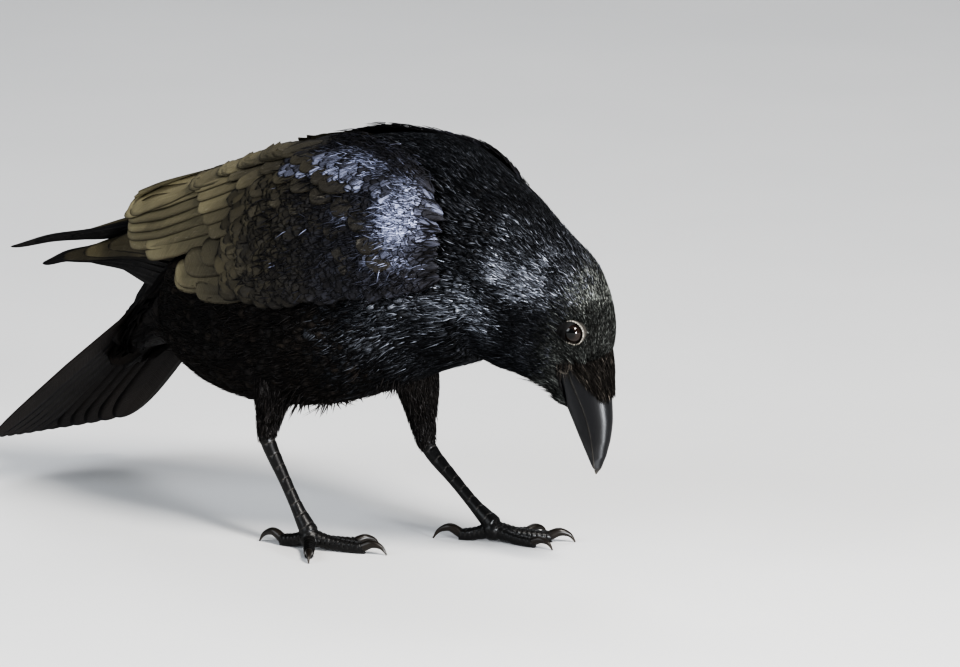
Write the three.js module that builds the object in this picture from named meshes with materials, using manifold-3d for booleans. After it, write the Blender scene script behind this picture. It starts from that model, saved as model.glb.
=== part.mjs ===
// A life-size carrion crow (Corvus corone) that stands on both feet and bends its head to the ground.
// Millimetres. +X is the way the body faces, +Y its left side, +Z up, and the floor is z = 0.
import * as THREE from "three";
import { mergeVertices } from "three/addons/utils/BufferGeometryUtils.js";
import Module from "manifold-3d";

const wasm = await Module();
wasm.setup();

// ---- Driving dimensions -------------------------------------------------------------------

const GAP = 0.3; // clearance left between neighbouring solids
const CUT_GAP = 0.3; // width of the cuts that part trunk, neck and head

// The head turns to the bird's left and the bill points steeply down.
const HEAD = {
  midEye: new THREE.Vector3(137.8, 9.9, 124.8), // the point midway between the eyes
  turn: THREE.MathUtils.degToRad(22),
  pitch: THREE.MathUtils.degToRad(70.5),
};
const EYE = { radius: 6.4, lateral: 12.2 };

// Bill, in the head's own frame: along the bill from the eyes, and above them.
const BILL = {
  root: 15,
  tip: 72.2,
  lowerTip: 69.6,
};

const LEG = {
  thighRadii: [19, 12.5, 9.6, 6.4], // from the belly down to the ankle
  tarsusRadii: [4.0, 3.5, 3.0, 3.2, 4.6], // from the ankle down to the ball of the foot
  ballHeight: 7, // centre of the ball of the foot above the floor
};
const LEGS = {
  right: { foot: [-1.5, -29], ankle: [-29, -29, 52.5], knee: [-27, -22, 106], heading: 18 },
  left: { foot: [60, 40.5], ankle: [19.5, 38, 43.5], knee: [17, 24, 106], heading: 35 },
};

// Toes: angle outwards from the foot's heading, length without claw, thickness, claw length.
const TOES = {
  hallux: { angle: { right: 195, left: 170 }, length: 18, radius: 3.2, claw: 14, clawRise: 5.0 },
  inner: { angle: { right: -32, left: -31 }, length: 25, radius: 2.8, claw: 11.5, clawRise: 3.2 },
  middle: { angle: { right: 0, left: 0 }, length: 29.5, radius: 3.2, claw: 12.5, clawRise: 3.8 },
  outer: { angle: { right: 70, left: 36 }, length: 22, radius: 2.7, claw: 11, clawRise: 3.0 },
};

const TAIL = {
  base: new THREE.Vector3(-74, -2, 139),
  pitch: THREE.MathUtils.degToRad(40.2),
  yaw: THREE.MathUtils.degToRad(11.5),
  roll: THREE.MathUtils.degToRad(1),
  length: 191,
  rootHalfWidth: 15,
  tipHalfWidth: 54,
  cornerDrop: 11, // how much shorter the outer feathers are
  camber: 5,
  thickness: [4.5, 1.4],
  feathers: 12,
};

// ---- Small geometry kit -------------------------------------------------------------------

const lerp = THREE.MathUtils.lerp;
const smooth = (t) => THREE.MathUtils.smoothstep(t, 0, 1);
const clamp = THREE.MathUtils.clamp;

// Value of a smooth curve through rows of numbers, spaced evenly, at t from 0 to 1.
function spline(rows, t) {
  const at = clamp(t, 0, 1) * (rows.length - 1);
  const i = Math.min(Math.floor(at), rows.length - 2);
  const f = at - i;
  const row = (k) => rows[clamp(k, 0, rows.length - 1)];
  return rows[i].map((_, c) => {
    const [a, b, d, e] = [row(i - 1)[c], row(i)[c], row(i + 1)[c], row(i + 2)[c]];
    return b + 0.5 * f * (d - a + f * (2 * a - 5 * b + 4 * d - e + f * (3 * (b - d) + e - a)));
  });
}

// Value of the same kind of curve where the first number of each row says where it is.
function splineAt(rows, x) {
  const up = rows[0][0] < rows.at(-1)[0];
  const next = rows.findIndex((r) => (up ? r[0] > x : r[0] < x));
  if (next === 0) return rows[0].slice(1);
  if (next < 0) return rows.at(-1).slice(1);
  const share = (x - rows[next - 1][0]) / (rows[next][0] - rows[next - 1][0]);
  return spline(rows, (next - 1 + share) / (rows.length - 1)).slice(1);
}

// A closed geometry as a solid, turned so that its faces point out.
function solidOf(geometry) {
  geometry.deleteAttribute("normal");
  geometry.deleteAttribute("uv");
  const merged = mergeVertices(geometry, 1e-3);
  const tris = [];
  const old = merged.index.array;
  for (let i = 0; i < old.length; i += 3) {
    const [a, b, c] = [old[i], old[i + 1], old[i + 2]];
    if (a !== b && b !== c && c !== a) tris.push(a, b, c);
  }
  const vertProperties = new Float32Array(merged.attributes.position.array);
  const make = (order) =>
    new wasm.Manifold(new wasm.Mesh({ numProp: 3, vertProperties, triVerts: new Uint32Array(order) }));
  const made = make(tris);
  return made.volume() > 0 ? made : make(tris.reverse());
}

// A loft: a sphere's grid laid over section(t, angle), with t from 0 to 1 between flat ends.
function loft(section, sides, rings) {
  const sphere = new THREE.SphereGeometry(1, sides, rings + 1);
  const place = sphere.attributes.position;
  for (let k = 0; k < place.count; k++) {
    const ring = Math.floor(k / (sides + 1));
    const angle = ((k % (sides + 1)) / sides) * 2 * Math.PI;
    const t = clamp((ring - 1) / (rings - 1), 0, 1);
    const pole = ring === 0 || ring === rings + 1;
    const p = pole ? section(t, 0).add(section(t, Math.PI)).multiplyScalar(0.5) : section(t, angle);
    place.setXYZ(k, p.x, p.y, p.z);
  }
  return solidOf(sphere);
}

// A plate: a box's grid laid over surface(along, across, depth), each from 0 to 1.
function plate(surface, alongSteps, acrossSteps) {
  const box = new THREE.BoxGeometry(1, 1, 1, alongSteps, acrossSteps, 1);
  const place = box.attributes.position;
  for (let k = 0; k < place.count; k++) {
    const p = surface(place.getX(k) + 0.5, place.getY(k) + 0.5, place.getZ(k) + 0.5);
    place.setXYZ(k, p.x, p.y, p.z);
  }
  return solidOf(box);
}

// A limb: round sections along a smooth curve, with a flat under each where it meets the floor.
function limb(places, radii, { sides, rings, grow }) {
  const points = places.map((p) => new THREE.Vector3(...p));
  const span = points.at(-1).clone().sub(points[0]);
  const level = new THREE.Vector3(-span.y, span.x, 0).normalize();
  span.setLength(grow);
  points[0].sub(span);
  points.at(-1).add(span);
  const curve = new THREE.CatmullRomCurve3(points);
  return loft(
    (t, angle) => {
      const [radius] = spline(radii.map((r) => [r]), t);
      const along = curve.getTangent(t);
      const turned = angle + Math.PI / sides;
      const up = new THREE.Vector3().crossVectors(along, level).normalize();
      const side = new THREE.Vector3().crossVectors(up, along).normalize();
      const p = curve
        .getPoint(t)
        .addScaledVector(up, Math.cos(turned) * (radius + grow))
        .addScaledVector(side, Math.sin(turned) * (radius + grow));
      p.z = Math.max(p.z, 0);
      return p;
    },
    sides,
    rings,
  );
}

// Rounded-square sections: power 2 is an ellipse, more is squarer.
const swell = (value, power) => Math.sign(value) * Math.abs(value) ** (2 / power);

// ---- Head frame ---------------------------------------------------------------------------

const facing = new THREE.Vector3(Math.cos(HEAD.turn), Math.sin(HEAD.turn), 0);
const UP = new THREE.Vector3(0, 0, 1);
const billWay = facing.clone().multiplyScalar(Math.cos(HEAD.pitch)).addScaledVector(UP, -Math.sin(HEAD.pitch));
const crownWay = facing.clone().multiplyScalar(Math.sin(HEAD.pitch)).addScaledVector(UP, Math.cos(HEAD.pitch));
const headLeft = new THREE.Vector3(-Math.sin(HEAD.turn), Math.cos(HEAD.turn), 0);

// A point of the head: along the bill, above the eyes and to the left of the middle.
function headPoint(along, above, left = 0) {
  return HEAD.midEye
    .clone()
    .addScaledVector(billWay, along)
    .addScaledVector(crownWay, above)
    .addScaledVector(headLeft, left);
}

// ---- Trunk, neck and head: one loft, parted by thin cuts ----------------------------------

// Stations of the trunk: back x, z, belly x, z, half width. The middle of the body is y = 0.
const TRUNK_STATIONS = [
  [-112, 124, -110, 106, 8],
  [-99, 143, -104, 88, 25],
  [-78, 163, -84, 72, 37],
  [-45, 184, -48, 65, 46],
  [-5, 201.5, -8, 69, 50],
  [33, 210, 27, 79, 50],
  [66, 209, 58, 88, 46],
  [95, 195.5, 80, 93, 38.5],
];
// Stations of the neck and head, in the head's frame: nape or crown along, above, throat along,
// below, half width. The share says how far the section has left the body's middle for the head's.
const HEAD_STATIONS = [
  [-68, -4.5, -1, -56, 33, 0.35],
  [-54, 4.5, 7, -46, 28.5, 0.7],
  [-41, 11, 13.5, -36.5, 24.5, 1],
  [-28, 17.3, 20, -29, 20.5, 1],
  [-14, 19.2, 25, -25, 15.9, 1],
  [0, 17.9, 30, -22.6, 13.6, 1],
  [11, 14.0, 35, -20.8, 11.2, 1],
  [20, 8.2, 38, -19.5, 8.4, 1],
  [28, 1, 38.5, -17.5, 5.5, 1],
];

// Every station as back point, belly point, half width and turn of the section.
function bodyStations() {
  const trunk = TRUNK_STATIONS.map(([bx, bz, vx, vz, w]) => [bx, 0, bz, vx, 0, vz, w, 0]);
  const head = HEAD_STATIONS.map(([ba, bc, va, vc, w, share]) => {
    const back = headPoint(ba, bc);
    const belly = headPoint(va, vc);
    return [back.x, back.y * share, back.z, belly.x, belly.y * share, belly.z, w, HEAD.turn * share];
  });
  return [...trunk, ...head];
}
const STATIONS = bodyStations();
const stationShare = (index) => index / (STATIONS.length - 1);
const BODY_POWER = 2.2;

// The frame of one section of the body: centre, half height as a vector, side and half width.
function bodySection(t) {
  const [bx, by, bz, vx, vy, vz, width, turn] = spline(STATIONS, t);
  const back = new THREE.Vector3(bx, by, bz);
  const belly = new THREE.Vector3(vx, vy, vz);
  return {
    centre: back.clone().add(belly).multiplyScalar(0.5),
    half: back.clone().sub(belly).multiplyScalar(0.5),
    side: new THREE.Vector3(-Math.sin(turn), Math.cos(turn), 0),
    width,
  };
}

function bodySolid(grow = 0) {
  return loft(
    (t, angle) => {
      const { centre, half, side, width } = bodySection(t);
      const tall = half.length();
      return centre
        .addScaledVector(half, (swell(Math.cos(angle), BODY_POWER) * (tall + grow)) / tall)
        .addScaledVector(side, swell(Math.sin(angle), BODY_POWER) * (width + grow));
    },
    22,
    32,
  );
}

// Cuts a solid across at a station and returns the tail side and the head side.
function partAt(solid, station) {
  const { centre, half, side } = bodySection(stationShare(station));
  const ahead = new THREE.Vector3().crossVectors(side, half).normalize();
  const offset = centre.dot(ahead);
  const n = [ahead.x, ahead.y, ahead.z];
  return [
    solid.trimByPlane(n.map((v) => -v), -(offset - CUT_GAP / 2)),
    solid.trimByPlane(n, offset + CUT_GAP / 2),
  ];
}

// ---- Eyes ---------------------------------------------------------------------------------

function eyeSolid(left, grow = 0) {
  const ball = new THREE.SphereGeometry(EYE.radius + grow, 12, 8);
  const { x, y, z } = headPoint(0, 0, left * EYE.lateral);
  ball.translate(x, y, z);
  return solidOf(ball);
}

// ---- Bill ---------------------------------------------------------------------------------

// Along the bill: height of the ridge, of the line where the halves meet, of the under edge, half width.
const BILL_STATIONS = [
  [15, 8.8, -11.0, -20.0, 9.4],
  [24, 7.4, -10.6, -20.1, 9.4],
  [33, 4.9, -10.2, -19.7, 8.4],
  [41, 2.6, -10.2, -19.2, 7.2],
  [50, -0.3, -11.2, -18.8, 5.8],
  [58, -4.3, -12.9, -18.3, 4.5],
  [65, -9.0, -15.0, -17.8, 3.0],
  [70, -13.3, -16.4, -17.5, 1.6],
  [72.2, -16.3, -17.2, -17.3, 0.6],
];

// One half of the bill: an arch with a flat face along the line where the halves meet.
function billHalf(upper, grow = 0) {
  const end = upper ? BILL.tip : BILL.lowerTip;
  return loft(
    (t, angle) => {
      const along = lerp(BILL.root - grow, end + grow, t);
      const [ridge, seam, under, width] = splineAt(BILL_STATIONS, along);
      const rise = Math.max(0, Math.cos(angle)) ** 0.85;
      const edge = upper ? seam + GAP / 2 - grow : seam - GAP / 2 + grow;
      const reach = upper ? ridge - edge + grow : under - edge - grow;
      return headPoint(along, edge + reach * rise, Math.sin(angle) * (width + grow));
    },
    12,
    11,
  );
}

// The stiff bristles that cover the root of the bill and the nostrils.
function bristleSolid() {
  return loft(
    (t, angle) => {
      const along = lerp(17, 40.5, t);
      const [ridge, seam, , width] = splineAt(BILL_STATIONS, along);
      const low = lerp(seam + 4.5, ridge - 6.2, smooth(t));
      const cover = lerp(1.7, 0.7, t);
      const rise = Math.max(0, Math.cos(angle)) ** 0.8;
      const belly = Math.sin(angle) * (width * Math.sqrt(lerp(1, 0.5, t)) + cover);
      return headPoint(along, low + (ridge + cover - low) * rise, belly);
    },
    12,
    6,
  );
}

// ---- Wings --------------------------------------------------------------------------------

// The folded wing's outer face by x, on the left side: upper edge y, z, lower edge y, z, bulge.
const WING_STATIONS = [
  [90, 36, 192, 46, 148, 6],
  [75, 31, 202, 50, 145, 10],
  [50, 21, 209.5, 54, 141, 14],
  [10, 12, 211, 55, 136, 16],
  [-30, 5, 202.5, 52, 132, 16],
  [-60, 2, 191, 45, 130, 13],
  [-90, 1.5, 179, 36, 129, 9],
  [-115, 1.2, 168, 26, 129, 6],
  [-140, 1, 156, 16, 131, 3],
];
const WING = { front: 88, topTip: -136, bottomTip: -82, span: 75, thickness: [7, 2.2] };

// A point of the folded wing: x, share down from the upper edge, and depth in from its outer face.
function wingPoint(x, down, depth, side) {
  const [topY, topZ, lowY, lowZ, bulge] = splineAt(WING_STATIONS, x);
  const along = new THREE.Vector2(lowY - topY, lowZ - topZ);
  const out = new THREE.Vector2(-along.y, along.x).normalize();
  const arch = 4 * down * (1 - down);
  const y = topY + along.x * down + out.x * (bulge * arch - depth);
  const z = topZ + along.y * down + out.y * (bulge * arch - depth);
  return new THREE.Vector3(x, side * Math.max(y, 0.5), z);
}

// How far back the feather tips reach: the long inner ones above, the shorter outer ones below.
function wingReach(down) {
  const step = smooth((down - 0.6) / 0.14);
  const corner = 16 * Math.max(0, (down - 0.8) / 0.2) ** 2 + 12 * Math.max(0, (0.12 - down) / 0.12) ** 2;
  return lerp(WING.topTip, WING.bottomTip, step) + corner;
}

function wingSolid(side, grow = 0) {
  return plate(
    (along, across, depth) => {
      const front = WING.front + grow - 14 * (2 * across - 1) ** 2;
      const x = lerp(front, wingReach(across) - grow, along);
      const ends = Math.sqrt(clamp(along * 12, 0.06, 1));
      const thick = lerp(WING.thickness[0], WING.thickness[1], along) * ends + 2 * grow;
      const inset = (1 - ends) * 4 - grow;
      const down = across + (2 * across - 1) * (grow / WING.span);
      return wingPoint(x, down, inset + thick * (1 - depth), side);
    },
    14,
    6,
  );
}

// The long outer flight feathers: x, middle y, z, half height, half thickness. The left wing's
// points cross over those of the right.
const PRIMARY_STATIONS = {
  right: [
    [-62, -34, 137, 10, 1.6],
    [-100, -23, 135.5, 11, 1.6],
    [-135, -9, 132, 9.2, 1.5],
    [-165, -1, 125.4, 6.2, 1.3],
    [-187, 4, 119.8, 4.0, 1.0],
    [-207, 8, 112.8, 0.9, 0.5],
  ],
  left: [
    [-62, 34, 137, 11, 1.6],
    [-100, 23, 141, 11.5, 1.6],
    [-135, 8, 142.5, 6.5, 1.5],
    [-164, -1.5, 135.6, 3.2, 1.3],
    [-187, -6.5, 131, 2.1, 1.0],
    [-211, -12, 124.2, 0.8, 0.5],
  ],
};

function primariesSolid(rows, grow = 0) {
  const [first, last] = [rows[0][0] + grow, rows.at(-1)[0] - grow];
  return loft(
    (t, angle) => {
      const x = lerp(first, last, t);
      const [y, z, tall, thick] = splineAt(rows, x);
      const lean = 0.35 * Math.sign(rows[0][1]);
      const up = Math.cos(angle) * (tall + grow);
      return new THREE.Vector3(x, y - lean * up + Math.sin(angle) * (thick + grow), z + up);
    },
    8,
    10,
  );
}

// ---- Tail ---------------------------------------------------------------------------------

const tailWay = new THREE.Vector3(-Math.cos(TAIL.pitch), 0, -Math.sin(TAIL.pitch)).applyAxisAngle(UP, -TAIL.yaw);
const tailFlat = new THREE.Vector3(0, 1, 0).applyAxisAngle(UP, -TAIL.yaw).applyAxisAngle(tailWay, TAIL.roll);
const tailUp = new THREE.Vector3().crossVectors(tailFlat, tailWay).normalize();

// A point of the tail: along it, to its left, and above its middle sheet.
function tailPoint(along, left, above) {
  return TAIL.base
    .clone()
    .addScaledVector(tailWay, along)
    .addScaledVector(tailFlat, left)
    .addScaledVector(tailUp, above);
}

function tailSolid(grow = 0) {
  return plate(
    (along, across, depth) => {
      const from = 2 * across - 1;
      const tips = 2.2 * Math.abs(Math.sin((from * Math.PI * TAIL.feathers) / 2));
      const reach = TAIL.length - TAIL.cornerDrop * from * from + (along > 0.99 ? tips + grow : 0);
      const width = lerp(TAIL.rootHalfWidth, TAIL.tipHalfWidth, along ** 0.75) + grow;
      const round = 1 - 0.1 * smooth((along - 0.9) / 0.1);
      const thick = lerp(TAIL.thickness[0], TAIL.thickness[1], along) + 2 * grow;
      const above = TAIL.camber * along * (1 - from * from) + (depth - 0.5) * thick;
      return tailPoint(reach * along - (along === 0 ? grow : 0), from * width * round, above);
    },
    4,
    24,
  );
}

// Coverts over and under the root of the tail: along, half width, rise above, drop below.
const COVERT_STATIONS = [
  [-8, 27, 20, 40],
  [12, 29, 16, 33],
  [34, 28, 11, 25],
  [56, 26, 8, 17],
  [76, 21, 5.5, 10],
  [92, 11, 4, 4],
];

function covertSolid(upper) {
  const [first, last] = [COVERT_STATIONS[0][0], COVERT_STATIONS.at(-1)[0]];
  return loft(
    (t, angle) => {
      const along = lerp(first, last, t);
      const [width, rise, drop] = splineAt(COVERT_STATIONS, along);
      const arch = Math.max(0, Math.cos(angle)) ** 0.8;
      return tailPoint(along, Math.sin(angle) * width, arch * (upper ? rise : -drop));
    },
    12,
    6,
  );
}

// ---- Legs and feet ------------------------------------------------------------------------

const footCentre = (leg) => [leg.foot[0], leg.foot[1], LEG.ballHeight];

function thighSolid(leg, grow = 0) {
  const [ax, ay, az] = leg.ankle;
  const [kx, ky, kz] = leg.knee;
  const at = (share, forward) => [lerp(ax, kx, share) + forward, lerp(ay, ky, share), lerp(az, kz, share)];
  return limb(
    [at(1, 0), at(0.62, 1.5), at(0.3, 1), at(-0.04, 0)],
    LEG.thighRadii,
    { sides: 12, rings: 7, grow },
  );
}

function tarsusSolid(leg, grow = 0) {
  const [ax, ay, az] = leg.ankle;
  const [fx, fy, fz] = footCentre(leg);
  const at = (share) => [lerp(ax, fx, share), lerp(ay, fy, share), lerp(az, fz, share)];
  return limb(
    [[ax - 1, ay, az + 4], at(0.1), at(0.4), at(0.75), [fx, fy, fz + 1.5]],
    LEG.tarsusRadii,
    { sides: 8, rings: 8, grow },
  );
}

// Where a toe runs: the direction on the floor from the ball of the foot.
function toeWay(leg, side, toe) {
  const outwards = side === "left" ? toe.angle.left : -toe.angle.right;
  const heading = THREE.MathUtils.degToRad(leg.heading + outwards);
  return (far, height) => [leg.foot[0] + Math.cos(heading) * far, leg.foot[1] + Math.sin(heading) * far, height];
}

function toeSolid(leg, side, toe, grow = 0) {
  const at = toeWay(leg, side, toe);
  const r = toe.radius;
  return limb(
    [at(1.5, r + 3), at(toe.length * 0.35, r + 1), at(toe.length * 0.7, r * 0.9), at(toe.length, r * 0.82)],
    [r * 1.25, r * 1.05, r, r * 0.92],
    { sides: 8, rings: 6, grow },
  );
}

function clawSolid(leg, side, toe, grow = 0) {
  const at = toeWay(leg, side, toe);
  const [start, reach, r] = [toe.length - 1.2, toe.claw, toe.radius * 0.78];
  return limb(
    [
      at(start, r + 0.9),
      at(start + reach * 0.38, r + toe.clawRise * 0.72),
      at(start + reach * 0.78, r + toe.clawRise * 0.35),
      at(start + reach, 0.2),
    ],
    [r, r * 0.86, r * 0.5, 0.4],
    { sides: 6, rings: 6, grow },
  );
}

// ---- Assembly -----------------------------------------------------------------------------

const plumage = new THREE.MeshStandardMaterial({ color: 0x101114, roughness: 0.5, metalness: 0 });
const flight = new THREE.MeshStandardMaterial({ color: 0x1d1b18, roughness: 0.5, metalness: 0 });
const horn = new THREE.MeshStandardMaterial({ color: 0x0c0c0e, roughness: 0.25, metalness: 0 });
const scale = new THREE.MeshStandardMaterial({ color: 0x121213, roughness: 0.4, metalness: 0 });
const iris = new THREE.MeshStandardMaterial({ color: 0x1a100a, roughness: 0.08, metalness: 0 });

const crow = new THREE.Group();

// Adds a solid to the model as a named mesh.
function add(name, solid, material) {
  const { numProp, numVert, vertProperties, triVerts } = solid.getMesh();
  const places = new Float32Array(numVert * 3);
  for (let i = 0; i < numVert; i++) places.set(vertProperties.subarray(i * numProp, i * numProp + 3), i * 3);
  const geometry = new THREE.BufferGeometry()
    .setAttribute("position", new THREE.BufferAttribute(places, 3))
    .setIndex(new THREE.BufferAttribute(triVerts, 1));
  geometry.computeVertexNormals();
  const mesh = new THREE.Mesh(geometry, material);
  mesh.name = name;
  crow.add(mesh);
}

// The largest piece of a solid that a cut may have split.
function largest(solid) {
  return solid.decompose().sort((a, b) => b.volume() - a.volume())[0];
}
const without = (solid, ...cutters) => largest(cutters.reduce((s, c) => s.subtract(c), solid));

const bodyRoom = bodySolid(GAP);
const billRoom = [billHalf(true, GAP), billHalf(false, GAP)];
const eyeRoom = [eyeSolid(1, GAP), eyeSolid(-1, GAP)];

const [trunk, ahead] = partAt(bodySolid(), 8);
const [neck, head] = partAt(ahead, 10);
add("trunk", trunk, plumage);
add("neck", neck, plumage);
add("head", without(head, ...billRoom, ...eyeRoom), plumage);

add("eye_right", eyeSolid(-1), iris);
add("eye_left", eyeSolid(1), iris);
add("bill_upper", billHalf(true), horn);
add("bill_lower", billHalf(false), horn);
add("nasal_bristles", without(bristleSolid(), bodyRoom, ...billRoom), plumage);

const wings = { right: -1, left: 1 };
const wingRooms = [];
for (const [side, sign] of Object.entries(wings)) {
  const room = primariesSolid(PRIMARY_STATIONS[side], GAP);
  add(`wing_${side}`, without(wingSolid(sign), bodyRoom, room), flight);
  add(`primaries_${side}`, without(primariesSolid(PRIMARY_STATIONS[side]), bodyRoom), flight);
  wingRooms.push(wingSolid(sign, GAP), room);
}

const tailRoom = tailSolid(GAP);
add("tail", without(tailSolid(), bodyRoom, ...wingRooms), flight);
add("uppertail_coverts", without(covertSolid(true), bodyRoom, tailRoom, ...wingRooms), plumage);
add("undertail_coverts", without(covertSolid(false), bodyRoom, tailRoom, ...wingRooms), plumage);

for (const [side, leg] of Object.entries(LEGS)) {
  const tarsusRoom = tarsusSolid(leg, GAP);
  add(`thigh_${side}`, without(thighSolid(leg), bodyRoom, tarsusRoom), plumage);
  add(`tarsus_${side}`, tarsusSolid(leg), scale);
  let taken = tarsusRoom;
  for (const [name, toe] of Object.entries(TOES)) {
    const room = toeSolid(leg, side, toe, GAP);
    const claw = clawSolid(leg, side, toe);
    add(`toe_${side}_${name}`, without(toeSolid(leg, side, toe), taken), scale);
    add(`claw_${side}_${name}`, without(claw, room), horn);
    taken = taken.add(room);
  }
}

// The origin is on the floor below the middle of the whole bird.
const middle = new THREE.Box3().setFromObject(crow).getCenter(new THREE.Vector3());
crow.children.forEach((mesh) => mesh.geometry.translate(-middle.x, -middle.y, 0));

export default crow;
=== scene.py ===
"""A life-size carrion crow, standing with its bill bent to the ground.

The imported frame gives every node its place. This script dresses it: one skin under a coat of
solid feathers, flight feathers with shafts, a horny bill, wet eyes, scaled legs and claws.
Shapes are worked out in millimetres in the bird's own frame, where +X is the way the body faces,
+Y its left side and +Z up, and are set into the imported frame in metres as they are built.
"""

from __future__ import annotations

import logging
import math
from dataclasses import dataclass
from enum import Enum
from functools import cached_property

import bpy
import numpy as np
from mathutils import Matrix, Vector


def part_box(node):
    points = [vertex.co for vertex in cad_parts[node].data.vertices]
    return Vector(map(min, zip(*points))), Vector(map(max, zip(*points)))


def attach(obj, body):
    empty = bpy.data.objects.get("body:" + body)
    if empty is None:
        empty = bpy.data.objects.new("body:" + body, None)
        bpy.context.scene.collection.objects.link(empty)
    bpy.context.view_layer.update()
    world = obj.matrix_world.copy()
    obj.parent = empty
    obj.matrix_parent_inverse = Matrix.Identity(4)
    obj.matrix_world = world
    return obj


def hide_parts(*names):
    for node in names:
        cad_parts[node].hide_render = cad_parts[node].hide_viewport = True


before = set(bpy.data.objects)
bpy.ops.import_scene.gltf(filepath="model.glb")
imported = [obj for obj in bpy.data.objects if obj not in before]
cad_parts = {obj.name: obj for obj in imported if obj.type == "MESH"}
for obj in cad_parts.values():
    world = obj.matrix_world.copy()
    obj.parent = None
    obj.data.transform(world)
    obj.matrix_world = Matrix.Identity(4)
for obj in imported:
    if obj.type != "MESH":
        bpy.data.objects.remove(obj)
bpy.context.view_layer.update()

Array = np.ndarray
Colour = tuple[float, float, float]
Piece = bpy.types.Object
Node = bpy.types.Node
Socket = bpy.types.NodeSocket
Tree = bpy.types.NodeTree
Material = bpy.types.Material

LOG = logging.getLogger("crow")
BODY = "root"
MM = 0.001
PATCH = 0.003  # how wide one feather is on the baking map
MID_EYE = np.array([137.8, 9.9, 124.8])  # the point midway between the eyes
BAKE_MAP = "OFBake"
BATCH = 20000  # how many points are compared at a time, to save memory
FAR = 1e9  # a distance beyond all others


class Side(Enum):
    """The bird's two sides, by the sign of their y."""

    RIGHT = -1
    LEFT = 1

    @property
    def word(self) -> str:
        """The side's name in node and piece names."""
        return self.name.lower()


class Slot(Enum):
    """The record's material slots."""

    PLUMAGE = "plumage"
    FLIGHT = "flight_feathers"
    HORN = "horn"
    SCALES = "scales"
    EYE = "eye"


# ---- Curves and frames ----------------------------------------------------------------------


def unit(vectors: Array) -> Array:
    """Scales vectors to length one."""
    return vectors / np.maximum(np.linalg.norm(vectors, axis=-1, keepdims=True), 1e-9)


def smooth(share: Array) -> Array:
    """Eases a share from 0 to 1, flat at both ends."""
    held = np.clip(share, 0, 1)
    return held * held * (3 - 2 * held)


def read_rows(rows: Array, share: Array) -> Array:
    """Reads a smooth curve through evenly spaced rows of numbers.

    Args:
        rows: One row of numbers for each station.
        share: Places along the rows, from 0 at the first to 1 at the last.

    Returns:
        One row of numbers for each place.
    """
    last = len(rows) - 1
    reach = np.clip(share, 0, 1) * last
    low = np.minimum(reach.astype(int), last - 1)
    part = (reach - low)[..., None]
    before, here, ahead, beyond = (rows[np.clip(low + k, 0, last)] for k in (-1, 0, 1, 2))
    bend = 2 * before - 5 * here + 4 * ahead - beyond + part * (3 * (here - ahead) + beyond - before)
    return here + 0.5 * part * (ahead - before + part * bend)


def read_table(table: Array, where: Array) -> Array:
    """Reads a smooth curve through rows whose first number says where each lies.

    Args:
        table: Rows in rising or falling order of their first number.
        where: Places in the units of that first number.

    Returns:
        The other numbers of a row, for each place.
    """
    rising = table if table[0, 0] < table[-1, 0] else table[::-1]
    shares = np.linspace(0, 1, len(rising))
    return read_rows(rising[:, 1:], np.interp(where, rising[:, 0], shares))


def scattered(count: int, seed: int) -> Array:
    """Spreads points evenly over the unit square without a visible grid.

    Args:
        count: How many points.
        seed: Picks one of many such layouts.

    Returns:
        Points as rows of two numbers from 0 to 1.
    """
    ratio = 1.32471795724474602596  # the plastic number, whose powers leave no rows
    steps = np.array([1 / ratio, 1 / ratio**2])
    start = np.random.default_rng(seed).random(2)
    return (start + np.arange(count)[:, None] * steps) % 1


def patchy(across: Array, up: Array, size: float, seed: int) -> Array:
    """A smooth random field from 0 to 1, whose patches are about one size wide.

    Args:
        across: Places across the field.
        up: Places up the field.
        size: How wide a patch is.
        seed: Picks the random numbers.

    Returns:
        A number from 0 to 1 for each place.
    """
    table = np.random.default_rng(seed).random((64, 64))
    u, v = across / size, up / size
    i, j = np.floor(u).astype(int), np.floor(v).astype(int)
    s, t = smooth(u - i), smooth(v - j)
    low = table[i % 64, j % 64] * (1 - s) + table[(i + 1) % 64, j % 64] * s
    high = table[i % 64, (j + 1) % 64] * (1 - s) + table[(i + 1) % 64, (j + 1) % 64] * s
    return low * (1 - t) + high * t


def ring_grid(low: float, high: float, rings: int, sides: int) -> tuple[Array, Array]:
    """Spreads rings of places over a face whose second number is an angle.

    Args:
        low: The first number at the first ring.
        high: The first number at the last ring.
        rings: How many rings.
        sides: How many points go round a ring.

    Returns:
        The first number and the angle of each place, by ring.
    """
    turns = np.arange(sides) * 2 * math.pi / sides
    down, angle = np.meshgrid(np.linspace(low, high, rings), turns, indexing="ij")
    return down, angle


def closest(points: Array, places: Array) -> Array:
    """Finds the nearest of some places to each point.

    Args:
        points: The points.
        places: The places to choose from.

    Returns:
        The number of a place for each point.
    """
    index = np.empty(len(points), int)
    for start in range(0, len(points), BATCH):
        part = points[start:start + BATCH]
        index[start:start + BATCH] = ((part[:, None] - places[None]) ** 2).sum(axis=-1).argmin(axis=1)
    return index


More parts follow.
